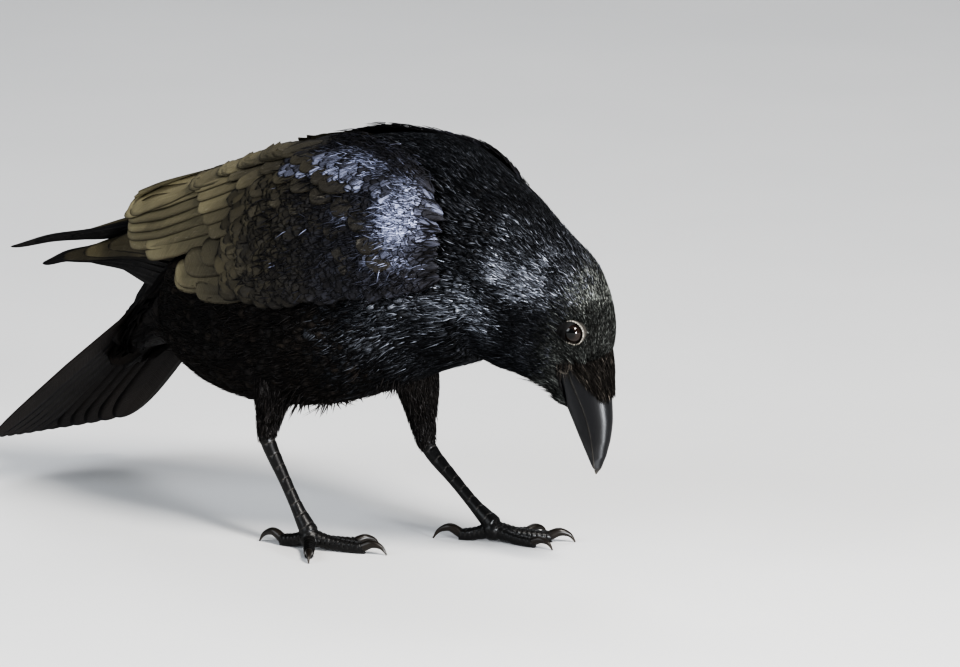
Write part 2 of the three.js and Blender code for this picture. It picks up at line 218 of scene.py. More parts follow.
@dataclass(frozen=True)
class HeadFrame:
    """The way the head is turned: to the bird's left, with the bill steeply down."""

    turn: float = math.radians(22)
    pitch: float = math.radians(70.5)

    @cached_property
    def left(self) -> Array:
        """The head's own left."""
        return np.array([-math.sin(self.turn), math.cos(self.turn), 0])

    @cached_property
    def bill_way(self) -> Array:
        """From the eyes towards the tip of the bill."""
        ahead = np.array([math.cos(self.turn), math.sin(self.turn), 0])
        return ahead * math.cos(self.pitch) - np.array([0, 0, math.sin(self.pitch)])

    @cached_property
    def crown_way(self) -> Array:
        """From the eyes towards the crown."""
        ahead = np.array([math.cos(self.turn), math.sin(self.turn), 0])
        return ahead * math.sin(self.pitch) + np.array([0, 0, math.cos(self.pitch)])

    def point(self, along: Array, above: Array, left: Array) -> Array:
        """A point of the head: along the bill, above the eyes and left of the middle."""
        parts = (np.asarray(v, float)[..., None] for v in (along, above, left))
        return MID_EYE + sum(v * way for v, way in zip(parts, (self.bill_way, self.crown_way, self.left)))


HEAD = HeadFrame()


# ---- Faces that feathers lie on -------------------------------------------------------------


@dataclass(frozen=True)
class Lie:
    """Where like feathers run: middles, outward and sideward ways, by feather and step."""

    middle: Array
    out: Array
    side: Array
    share: Array
    length: Array


class Surface:
    """A smooth face read at two numbers, the first of which runs along the lie of its feathers."""

    outward: float = 1
    fine: tuple = (1e-3, 1e-3)  # the steps of each number over which slopes are measured

    def point(self, down: Array, across: Array) -> Array:
        """A point of the face."""
        raise NotImplementedError

    def slopes(self, down: Array, across: Array) -> tuple[Array, Array]:
        """Measures how the point moves with each of the two numbers.

        Args:
            down: The first number of each place.
            across: The second number of each place.

        Returns:
            The changes with the first number, and those with the second.
        """
        wide, fine = self.fine
        with_down = (self.point(down + wide, across) - self.point(down - wide, across)) / (2 * wide)
        with_across = (self.point(down, across + fine) - self.point(down, across - fine)) / (2 * fine)
        return with_down, with_across

    def normal(self, down: Array, across: Array) -> Array:
        """The outward way at a point of the face."""
        return unit(np.cross(*self.slopes(down, across))) * self.outward

    def follow(self, down: Array, across: Array, height: Array, share: Array) -> Lie:
        """Lays feathers along given lines of the face.

        Args:
            down: The first number of each line, by feather and step.
            across: The second number of each line.
            height: How far above the face each step stands.
            share: The share of the feather's length at each step.

        Returns:
            The lie of the feathers.
        """
        out = self.normal(down, across)
        middle = self.point(down, across) + out * height[..., None]
        along = unit(np.gradient(middle, axis=1))
        side = unit(np.cross(out, along))
        length = np.linalg.norm(np.diff(middle, axis=1), axis=-1).sum(axis=1)
        return Lie(middle, np.cross(along, side), side, share, length)

    def run(self, roots: tuple[Array, Array], length: Array, veer: Array, rise: tuple[Array, Array],
            share: Array, way: float = -1) -> Lie:
        """Lays feathers of given lengths from their roots along the lie of the face.

        Args:
            roots: The two numbers of each root.
            length: The length of each feather.
            veer: How far each turns from the lie, in radians.
            rise: Height above the face at the root and at the tip.
            share: The share of the length at each step.
            way: -1 where the lie runs towards smaller first numbers, 1 towards larger.

        Returns:
            The lie of the feathers.
        """
        with_down, with_across = (np.linalg.norm(v, axis=-1) for v in self.slopes(*roots))
        reach = way * length * np.cos(veer) / np.maximum(with_down, 1)
        drift = length * np.sin(veer) / np.maximum(with_across, 1)
        curl = share[None, :] ** 1.5
        down = roots[0][:, None] + reach[:, None] * share
        across = roots[1][:, None] + drift[:, None] * curl
        height = rise[0][:, None] + (rise[1] - rise[0])[:, None] * share[None, :] ** 0.75
        return self.follow(down, across, height, share)

    def scatter(self, count: int, down: tuple[float, float], across: tuple[float, float],
                seed: int) -> tuple[Array, Array]:
        """Spreads roots evenly over part of the face.

        Args:
            count: How many roots.
            down: Lowest and highest first number.
            across: Lowest and highest second number.
            seed: Picks the layout.

        Returns:
            The two numbers of every root.
        """
        cells = 80
        mids = (np.arange(cells) + 0.5) / cells
        grid_down = down[0] + (down[1] - down[0]) * mids
        grid_across = across[0] + (across[1] - across[0]) * mids
        grid = np.meshgrid(grid_down, grid_across, indexing="ij")
        area = np.linalg.norm(np.cross(*self.slopes(*grid)), axis=-1)
        picks = scattered(count, seed)
        rows = np.concatenate([[0], np.cumsum(area.sum(axis=1))])
        place = np.interp(picks[:, 0], rows / rows[-1], np.linspace(0, 1, cells + 1))
        row = np.minimum((place * cells).astype(int), cells - 1)
        columns = np.concatenate([np.zeros((cells, 1)), np.cumsum(area, axis=1)], axis=1)
        columns /= columns[:, -1:]
        below = (columns[row] <= picks[:, 1:]).sum(axis=1) - 1
        below = np.clip(below, 0, cells - 1)
        low, high = columns[row, below], columns[row, below + 1]
        beside = (below + (picks[:, 1] - low) / np.maximum(high - low, 1e-9)) / cells
        return down[0] + (down[1] - down[0]) * place, across[0] + (across[1] - across[0]) * beside


@dataclass(frozen=True)
class Eyes:
    """The places and sizes of the two eyes."""

    radius: float = 6.4
    lateral: float = 12.2
    open_along: float = 5.5  # half openings of the lids, along the bill and across it
    open_above: float = 5.0
    swell: float = 3.2  # how far the flesh rises round the ball
    swell_reach: float = 8.0
    bare: float = 6.5  # no tuft has its root nearer than this to the axis
    kept_open: float = 6.6  # and none runs nearer than this
    level: float = -2  # in front of this height over the middle of the eye

    def centre(self, side: Side) -> Array:
        """The middle of one eyeball."""
        return HEAD.point(0, 0, side.value * self.lateral)

    def axis(self, side: Side) -> Array:
        """The way one eye looks."""
        return HEAD.left * side.value

    def distance(self, points: Array, side: Side) -> tuple[Array, Array]:
        """How far points lie from an eye's axis, and how far out along it.

        Args:
            points: Points in millimetres.
            side: The eye's side.

        Returns:
            The distances from the axis, and those along it.
        """
        rel = points - self.centre(side)
        out = rel @ self.axis(side)
        return np.linalg.norm(rel - out[..., None] * self.axis(side), axis=-1), out


EYES = Eyes()


@dataclass(frozen=True)
class BodyForm(Surface):
    """The trunk, neck and head as one loft from the tail's root (0) to the bill's root (1).

    The second number is the angle round the section, from 0 on the back to pi on the belly,
    positive on the left.
    """

    # Back x, z, belly x, z and half width of each section of the trunk.
    trunk: tuple = (
        (-112, 124, -110, 106, 8), (-99, 143, -104, 88, 25), (-78, 163, -84, 72, 37),
        (-45, 184, -48, 65, 46), (-5, 201.5, -8, 69, 50), (33, 210, 27, 80, 50),
        (66, 209, 60, 94.5, 46), (95, 195.5, 84, 102, 38.5),
    )
    # Crown along, above, throat along, above, half width and share of the head's turn.
    head: tuple = (
        (-68, -4.5, -1, -56, 33, 0.35), (-54, 4.5, 7, -46, 28.5, 0.7), (-41, 11, 13.5, -36.5, 24.5, 1),
        (-28, 17.3, 20, -29, 20.5, 1), (-14, 19.2, 25, -25, 15.9, 1), (0, 17.9, 30, -22.6, 13.6, 1),
        (11, 14.0, 35, -20.8, 11.2, 1), (20, 8.2, 38, -19.5, 8.4, 1), (28, 1, 38.5, -17.5, 5.5, 1),
    )
    squareness: float = 2.2

    @cached_property
    def rows(self) -> Array:
        """Every section as back point, belly point, half width and turn.

        Returns:
            A row of eight numbers for each section.
        """
        rows = [[bx, 0, bz, vx, 0, vz, w, 0] for bx, bz, vx, vz, w in self.trunk]
        for crown, above, throat, below, width, share in self.head:
            back, belly = HEAD.point(crown, above, 0), HEAD.point(throat, below, 0)
            rows.append([back[0], back[1] * share, back[2], belly[0], belly[1] * share, belly[2],
                         width, HEAD.turn * share])
        return np.array(rows, float)

    @property
    def last(self) -> int:
        """The number of the last station."""
        return len(self.rows) - 1

    def point(self, down: Array, across: Array, sunk: Array | float = 0) -> Array:
        """A point of the body, or of the body sunk in by the coat's depth.

        Args:
            down: Shares along the body.
            across: Angles round it.
            sunk: How deep below the face, in millimetres.

        Returns:
            The points.
        """
        down, across = np.broadcast_arrays(np.asarray(down, float), across)
        row = read_rows(self.rows, down)
        back, belly, width, turn = row[..., :3], row[..., 3:6], row[..., 6], row[..., 7]
        half = (back - belly) / 2
        tall = np.maximum(np.linalg.norm(half, axis=-1), 1e-6)
        side = np.stack([-np.sin(turn), np.cos(turn), 0 * turn], axis=-1)
        power = 2 / self.squareness
        up = np.sign(np.cos(across)) * np.abs(np.cos(across)) ** power * (tall - sunk) / tall
        out = np.sign(np.sin(across)) * np.abs(np.sin(across)) ** power * (width - sunk)
        place = (back + belly) / 2 + half * up[..., None] + side * out[..., None]
        for eye in Side:
            away, ahead = EYES.distance(place, eye)
            lift = EYES.swell * np.exp(-((away / EYES.swell_reach) ** 2)) * smooth((ahead + 9) / 8)
            place = place + lift[..., None] * EYES.axis(eye)
        return place


TRUNK = BodyForm()


@dataclass(frozen=True)
class WingForm(Surface):
    """The outer face of a folded wing, read by x and by the share down from its upper edge."""

    side: Side = Side.RIGHT
    # x, upper edge y, z, lower edge y, z, and bulge between them, on the left side.
    sections: tuple = (
        (90, 36, 192, 46, 148, 6), (75, 31, 202, 50, 145, 10), (50, 21, 209.5, 54, 141, 14),
        (10, 12, 211, 55, 136, 16), (-30, 5, 202.5, 52, 132, 16), (-60, 2, 191, 45, 130, 13),
        (-90, 1.5, 179, 36, 129, 9), (-115, 1.2, 168, 26, 129, 6), (-140, 1, 156, 16, 131, 3),
    )
    shoulder: float = 5.5  # how far the shoulder end sinks
    fine: tuple = (0.5, 0.005)

    @property
    def outward(self) -> float:
        """Turns the normal to the wing's own side."""
        return float(self.side.value)

    def point(self, down: Array, across: Array) -> Array:
        """A point of the outer face at x (down) and share from the upper edge (across).

        The shoulder end sinks under the body's coat.

        Args:
            down: Places along x.
            across: Shares down from the upper edge.

        Returns:
            The points.
        """
        down, across = np.broadcast_arrays(np.asarray(down, float), across)
        row = read_table(np.array(self.sections, float), down)
        top_y, top_z, low_y, low_z, bulge = (row[..., k] for k in range(5))
        run_y, run_z = low_y - top_y, low_z - top_z
        reach = np.hypot(run_y, run_z)
        arch = bulge * 4 * across * (1 - across)
        sunk = self.shoulder * smooth((down - 62) / 28)
        y = top_y + run_y * across - run_z / reach * arch - sunk
        z = top_z + run_z * across + run_y / reach * arch - sunk * 0.4 * (1 - across)
        return np.stack([down, self.side.value * np.maximum(y, 0.4), z], axis=-1)


@dataclass(frozen=True)
class PrimaryForm(Surface):
    """The blade of long outer flight feathers, read by x and by height from -1 to 1."""

    side: Side = Side.RIGHT
    # x, middle y, z, and half height.
    right: tuple = (
        (-62, -34, 137, 10), (-100, -23, 135.5, 11), (-135, -9, 132, 9.2), (-165, -1, 125.4, 6.2),
        (-187, 4, 119.8, 4.0), (-207, 8, 112.8, 0.9),
    )
    left: tuple = (
        (-62, 34, 137, 11), (-100, 23, 141, 11.5), (-135, 8, 142.5, 6.5), (-164, -1.5, 135.6, 3.2),
        (-187, -6.5, 131, 2.1), (-211, -12, 124.2, 0.8),
    )
    lean: float = 0.35
    fine: tuple = (0.5, 0.05)

    @property
    def rows(self) -> Array:
        """The sections of this side's blade."""
        return np.array(self.right if self.side is Side.RIGHT else self.left, float)

    @property
    def outward(self) -> float:
        """Turns the normal to the wing's own side."""
        return -float(self.side.value)

    def point(self, down: Array, across: Array) -> Array:
        """A point of the blade at x (down) and height (across).

        Args:
            down: Places along x.
            across: Heights from -1 to 1.

        Returns:
            The points.
        """
        down, across = np.broadcast_arrays(np.asarray(down, float), across)
        row = read_table(self.rows, down)
        up = across * row[..., 2]
        y = row[..., 0] - self.side.value * self.lean * up
        return np.stack([down, y, row[..., 1] + up], axis=-1)


@dataclass(frozen=True)
class TailForm(Surface):
    """The spread sheet of the tail, read by millimetres along it and share across, -1 to 1."""

    base: tuple = (-74, -2, 139)
    pitch: float = math.radians(40.2)
    yaw: float = math.radians(11.5)
    roll: float = math.radians(1)
    length: float = 191
    root_half: float = 15
    tip_half: float = 54
    corner_drop: float = 11
    camber: float = 5
    outward: float = -1
    fine: tuple = (0.5, 0.01)

    @cached_property
    def axes(self) -> tuple[Array, Array, Array]:
        """The ways along the tail, to its left and up from it.

        Returns:
            Three ways of length one.
        """
        turned = Matrix.Rotation(-self.yaw, 3, "Z")
        way = turned @ Vector((-math.cos(self.pitch), 0, -math.sin(self.pitch)))
        flat = Matrix.Rotation(self.roll, 3, way) @ (turned @ Vector((0, 1, 0)))
        return np.array(way), np.array(flat), np.array(flat.cross(way).normalized())

    def place(self, along: Array, left: Array, above: Array) -> Array:
        """A point by millimetres along the tail, to its left and above its sheet."""
        parts = (np.asarray(v, float)[..., None] for v in (along, left, above))
        return np.array(self.base, float) + sum(v * way for v, way in zip(parts, self.axes))

    def half_width(self, along: Array) -> Array:
        """Half the width of the spread tail."""
        share = np.clip(along / self.length, 0, 1) ** 0.75
        return self.root_half + (self.tip_half - self.root_half) * share

    def point(self, down: Array, across: Array) -> Array:
        """A point of the cambered sheet.

        Args:
            down: Millimetres along the tail.
            across: Shares across it, from -1 to 1.

        Returns:
            The points.
        """
        down, across = np.broadcast_arrays(np.asarray(down, float), across)
        above = self.camber * np.clip(down / self.length, 0, 1) * (1 - across**2)
        return self.place(down, across * self.half_width(down), above)


TAIL = TailForm()


@dataclass(frozen=True)
class CovertForm(Surface):
    """The soft mass over (upper) or under the tail's root, by millimetres along and angle."""

    upper: bool = True
    # Along, half width, rise above the sheet and drop below it.
    sections: tuple = (
        (-8, 27, 20, 40), (12, 29, 16, 33), (34, 28, 11, 25), (56, 26, 8, 17), (76, 21, 5.5, 10),
        (92, 11, 4, 4),
    )
    first: float = -8
    last: float = 92

    @property
    def outward(self) -> float:
        """Turns the normal up over the tail or down under it."""
        return -1 if self.upper else 1

    def point(self, down: Array, across: Array) -> Array:
        """A point of the mass; the angle is 0 on its middle line.

        Args:
            down: Shares along the mass.
            across: Angles round it.

        Returns:
            The points.
        """
        down, across = np.broadcast_arrays(np.asarray(down, float), across)
        along = self.first + (self.last - self.first) * down
        row = read_table(np.array(self.sections, float), along)
        arch = np.maximum(np.cos(across), 0) ** 0.8
        above = arch * (row[..., 1] if self.upper else -row[..., 2])
        return TAIL.place(along, np.sin(across) * row[..., 0], above)


@dataclass(frozen=True)
class Leg:
    """One leg's joints, in millimetres."""

    side: Side
    foot: tuple
    ankle: tuple
    knee: tuple
    heading: float
    ball_height: float = 7

    def between(self, low: Array, high: Array, share: float, ahead: float = 0) -> Array:
        """A point a share of the way between two joints, moved ahead."""
        return np.array(low) + (np.array(high) - np.array(low)) * share + np.array([ahead, 0, 0])


@dataclass(frozen=True)
class Toe:
    """One toe: the angle outwards from the foot's heading on each side, and its sizes."""

    name: str
    outwards: dict
    length: float
    radius: float
    claw: float
    claw_rise: float
    joints: int


LEGS = (
    Leg(Side.RIGHT, (-1.5, -29), (-29, -29, 52.5), (-27, -22, 106), 18),
    Leg(Side.LEFT, (60, 40.5), (19.5, 38, 43.5), (17, 24, 106), 35),
)
TOES = (
    Toe("hallux", {Side.RIGHT: 195, Side.LEFT: 170}, 18, 3.2, 14, 5.0, 2),
    Toe("inner", {Side.RIGHT: -32, Side.LEFT: -31}, 25, 2.8, 11.5, 3.2, 3),
    Toe("middle", {Side.RIGHT: 0, Side.LEFT: 0}, 29.5, 3.2, 12.5, 3.8, 4),
    Toe("outer", {Side.RIGHT: 70, Side.LEFT: 36}, 22, 2.7, 11, 3.0, 4),
)


@dataclass(frozen=True)
class Limb(Surface):
    """A round limb along a smooth line, read by share along it and angle round it.

    The angle is 0 on the upper or front side of the limb.
    """

    places: tuple
    radii: tuple
    floored: bool = False
    outward: float = 1

    @cached_property
    def line(self) -> Array:
        """Places evenly spaced along the limb.

        Returns:
            The places, one in a row.
        """
        rows = read_rows(np.array(self.places, float), np.linspace(0, 1, 241))
        run = np.concatenate([[0], np.cumsum(np.linalg.norm(np.diff(rows, axis=0), axis=1))])
        even = np.linspace(0, run[-1], 121)
        return np.stack([np.interp(even, run, rows[:, k]) for k in range(3)], axis=1)

    @property
    def length(self) -> float:
        """The length of the limb's line."""
        return float(np.linalg.norm(np.diff(self.line, axis=0), axis=1).sum())

    def axes(self, down: Array) -> tuple[Array, Array, Array, Array]:
        """The middle, the ways up and aside, and the radius at a share along the limb.

        Args:
            down: Shares along the limb.

        Returns:
            The middles, the ways up and aside, and the radii.
        """
        middle = read_rows(self.line, down)
        step = 0.01
        along = unit(read_rows(self.line, down + step) - read_rows(self.line, down - step))
        span = self.line[-1] - self.line[0]
        level = unit(np.array([-span[1], span[0], 0.0]))
        up = unit(np.cross(along, level))
        radius = read_rows(np.array(self.radii, float)[:, None], down)[..., 0]
        return middle, up, unit(np.cross(up, along)), radius

    def point(self, down: Array, across: Array, sunk: float = 0) -> Array:
        """A point of the limb's face.

        Args:
            down: Shares along the limb.
            across: Angles round it.
            sunk: How deep below the face, in millimetres.

        Returns:
            The points.
        """
        down, across = np.broadcast_arrays(np.asarray(down, float), across)
        middle, up, side, radius = self.axes(down)
        ring = np.cos(across)[..., None] * up + np.sin(across)[..., None] * side
        place = middle + ring * (radius - sunk)[..., None]
        if self.floored:
            place[..., 2] = np.maximum(place[..., 2], 0)
        return place


def thigh_of(leg: Leg) -> Limb:
    """The feathered thigh, from the belly down to the ankle.

    Args:
        leg: The leg.

    Returns:
        The thigh as a limb.
    """
    shares = ((1, 0), (0.62, 1.5), (0.3, 1), (-0.04, 0))
    at = [tuple(leg.between(leg.ankle, leg.knee, share, ahead)) for share, ahead in shares]
    return Limb(tuple(at), (19, 12.5, 9.6, 6.4))


def tarsus_of(leg: Leg) -> Limb:
    """The scaled shank, from the ankle down to the ball of the foot.

    Args:
        leg: The leg.

    Returns:
        The shank as a limb.
    """
    foot = np.array([*leg.foot, leg.ball_height])
    ankle = np.array(leg.ankle)
    at = [ankle + [-1, 0, 4]] + [leg.between(leg.ankle, foot, share) for share in (0.1, 0.4, 0.75)]
    return Limb(tuple(map(tuple, [*at, foot + [0, 0, 1.5]])), (4.0, 3.5, 3.0, 3.2, 4.6))


def toe_way(leg: Leg, toe: Toe) -> Array:
    """The way a toe points over the floor.

    Args:
        leg: The leg.
        toe: The toe.

    Returns:
        A level way of length one.
    """
    outwards = toe.outwards[leg.side] * leg.side.value
    heading = math.radians(leg.heading + outwards)
    return np.array([math.cos(heading), math.sin(heading), 0])


def on_toe(leg: Leg, toe: Toe, far: float, height: float) -> tuple:
    """A point over a toe's line, so far from the ball of the foot."""
    return tuple(np.array([*leg.foot, height]) + toe_way(leg, toe) * far)


def toe_of(leg: Leg, toe: Toe) -> Limb:
    """One toe, from the ball of the foot to the root of its claw.

    Args:
        leg: The leg.
        toe: The toe.

    Returns:
        The toe as a limb.
    """
    r, far = toe.radius, toe.length
    at = (on_toe(leg, toe, 1.5, r + 3), on_toe(leg, toe, far * 0.35, r + 1),
          on_toe(leg, toe, far * 0.7, r * 0.9), on_toe(leg, toe, far, r * 0.82))
    return Limb(at, (r * 1.25, r * 1.05, r, r * 0.92), floored=True)


def claw_of(leg: Leg, toe: Toe) -> Limb:
    """One claw, arched from the toe's end down to the floor.

    Args:
        leg: The leg.
        toe: The toe.

    Returns:
        The claw as a limb.
    """
    start, reach, r = toe.length - 1.2, toe.claw, toe.radius * 0.78
    at = (on_toe(leg, toe, start, r + 0.9),
          on_toe(leg, toe, start + reach * 0.38, r + toe.claw_rise * 0.72),
          on_toe(leg, toe, start + reach * 0.78, r + toe.claw_rise * 0.35),
          on_toe(leg, toe, start + reach, 0.2))
    return Limb(at, (r, r * 0.86, r * 0.5, 0.4), floored=True)


# ---- Meshes ---------------------------------------------------------------------------------


def frame_offset() -> Array:
    """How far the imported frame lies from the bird's own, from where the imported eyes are."""
    boxes = [np.array(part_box(f"eye_{side.word}")) for side in Side]
    return np.mean([box.mean(axis=0) for box in boxes], axis=0) / MM - MID_EYE


OFFSET = frame_offset()


def metres(points: Array) -> Array:
    """Turns millimetres of the bird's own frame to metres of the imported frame."""
    return (np.asarray(points, float).reshape(-1, 3) + OFFSET) * MM


def carry(mesh: bpy.types.Mesh, triples: dict) -> None:
    """Gives the points of a mesh the triples of numbers that the finishes read.

    Args:
        mesh: The mesh.
        triples: One row of three for each point, by label, or None to leave a label out.
    """
    for label, values in triples.items():
        if values is not None:
            layer = mesh.attributes.new(label, "FLOAT_VECTOR", "POINT")
            layer.data.foreach_set("vector", values.astype(np.float32).ravel())


@dataclass
class Shell:
    """A mesh in the making: points, faces, and what each point carries."""

    points: Array
    faces: list
    vane: Array | None = None
    span: Array | None = None
    patch: Array | None = None
    mark: Array | None = None

    def build(self, name: str, material: Material | None = None) -> Piece:
        """Makes the mesh object.

        Args:
            name: The piece's name.
            material: Its material, or None for a piece that is still being worked.

        Returns:
            The new object, linked to the scene.
        """
        mesh = bpy.data.meshes.new(name)
        corners = np.concatenate([f.reshape(-1) for f in self.faces]).astype(np.int32)
        sizes = np.concatenate([np.full(len(f), f.shape[1]) for f in self.faces])
        starts = np.concatenate([[0], np.cumsum(sizes)[:-1]]).astype(np.int32)
        mesh.vertices.add(len(self.points))
        mesh.vertices.foreach_set("co", metres(self.points).astype(np.float32).ravel())
        mesh.loops.add(len(corners))
        mesh.loops.foreach_set("vertex_index", corners)
        mesh.polygons.add(len(sizes))
        mesh.polygons.foreach_set("loop_start", starts)
        mesh.update(calc_edges=True)
        mesh.shade_smooth()
        carry(mesh, {"vane": self.vane, "span": self.span, "mark": self.mark})
        if self.patch is not None:
            layer = mesh.uv_layers.new(name=BAKE_MAP)
            chart = self.patch[corners] if len(self.patch) == len(self.points) else self.patch
            layer.uv.foreach_set("vector", chart.astype(np.float32).ravel())
        if material:
            mesh.materials.append(material)
        piece = bpy.data.objects.new(name, mesh)
        bpy.context.scene.collection.objects.link(piece)
        return piece


def tube_quads(rings: int, sides: int) -> Array:
    """The four-sided faces of a tube of rings of points.

    Args:
        rings: How many rings.
        sides: How many points go round a ring.

    Returns:
        Rows of four point numbers.
    """
    ring, k = (v.ravel() for v in np.meshgrid(np.arange(rings - 1), np.arange(sides), indexing="ij"))
    low, after = ring * sides, (k + 1) % sides
    return np.stack([low + k, low + after, low + sides + after, low + sides + k], axis=1)


def fan(start: int, sides: int, tip: int) -> Array:
    """The triangles from a ring to one point beyond it.

    Args:
        start: The number of the ring's first point.
        sides: How many points go round a ring.
        tip: The number of the point beyond it.

    Returns:
        Rows of three point numbers.
    """
    around = np.arange(sides)
    after = (around + 1) % sides
    return np.stack([start + around, start + after, np.full(sides, tip)], axis=1)


def loft(rings: Array, flip: bool = False) -> Shell:
    """Makes a closed shell from rings of points, with a point in the middle of each end.

    Args:
        rings: Points by ring and place round it.
        flip: Whether the faces are turned over.

    Returns:
        The shell.
    """
    count, sides = rings.shape[:2]
    ends = np.stack([rings[0].mean(axis=0), rings[-1].mean(axis=0)])
    first = count * sides
    near, far = fan(0, sides, first)[:, [1, 0, 2]], fan(first - sides, sides, first + 1)
    faces = [tube_quads(count, sides), np.concatenate([near, far])]
    if flip:
        faces = [f[:, ::-1] for f in faces]
    return Shell(np.concatenate([rings.reshape(-1, 3), ends]), faces)


def loft_of(limb: Limb, rings: int, sides: int, sunk: float = 0) -> Shell:
    """Makes a closed shell of a limb, sunk in by a depth."""
    return loft(limb.point(*ring_grid(0, 1, rings, sides), sunk), flip=True)


def with_ends(*values: Array) -> Array:
    """Stacks three values carried by rings of points, with noughts for the two end points."""
    return np.concatenate([np.stack(values, axis=-1).reshape(-1, 3), np.zeros((2, 3))])


def joined(shells: list[Shell]) -> Shell:
    """Gathers shells into one, with what all of them carry.

    Args:
        shells: The shells.

    Returns:
        The one shell.
    """
    starts = np.cumsum([0] + [len(s.points) for s in shells])
    faces = [f + start for shell, start in zip(shells, starts) for f in shell.faces]
    whole = Shell(np.concatenate([s.points for s in shells]), faces)
    for label in ("vane", "span", "patch"):
        parts = [getattr(shell, label) for shell in shells]
        if all(part is not None for part in parts):
            setattr(whole, label, np.concatenate(parts))
    return whole


# ---- Feather making -------------------------------------------------------------------------


@dataclass(frozen=True)
class Section:
    """A feather's cross-section: places across it, and how each stands, in shares of the thickness."""

    across: tuple
    rise: tuple
    thickness: float
    camber: float = 0.12

    @property
    def sides(self) -> int:
        """How many points go round the section."""
        return len(self.across)


HAIR = Section((1, 0, -1), (-0.3, 1, -0.3), 0.28, 0)
LEAF = Section((1, 0.5, 0, -0.5, -1, 0), (0, 0.6, 1, 0.6, 0, -0.6), 0.32, 0.16)
TUFT = Section((1, 0, -1, 0), (0, 1, 0, -0.6), 0.30, 0.14)
# A flight feather: a thin cambered vane with its shaft standing a little proud on both faces.
VANE = Section(
    (1, 0.72, 0.42, 0.36, 0.30, 0.24, -0.1, -0.55, -1, -0.55, -0.1, 0.24, 0.33, 0.42, 0.72),
    (0, 0.5, 0.5, 1.5, 1.5, 0.5, 0.5, 0.5, 0, -0.5, -0.5, -0.5, -1.3, -0.5, -0.5),
    0.36, 0.05,
)
FLAT_VANE = Section(VANE.across, VANE.rise, 0.22, 0.004)


class Outline(Enum):
    """How a feather's half width runs from root to tip: (root share, fullness, bluntness)."""

    STRAND = (0.45, 0.35, 1.3)
    LANCE = (0.30, 0.55, 1.6)
    ROUND = (0.18, 0.45, 3.2)
    BROAD = (0.10, 0.60, 5.0)

    def half(self, share: Array) -> Array:
        """The half width at shares of the length, as a share of the widest.

        Args:
            share: Shares of the length.

        Returns:
            One number for each share.
        """
        root, full, blunt = self.value
        start = root + (1 - root) * np.clip(share / full, 0, 1) ** 0.7
        beyond = np.clip((share - full) / (1 - full), 0, 1)
        return start * np.sqrt(np.maximum(1 - beyond**blunt, 0))


def steps(count: int, end: float = 1.6) -> Array:
    """Shares of a feather's length at its steps, closer together near the tip."""
    return 1 - (1 - np.linspace(0, 1, count + 1)) ** end


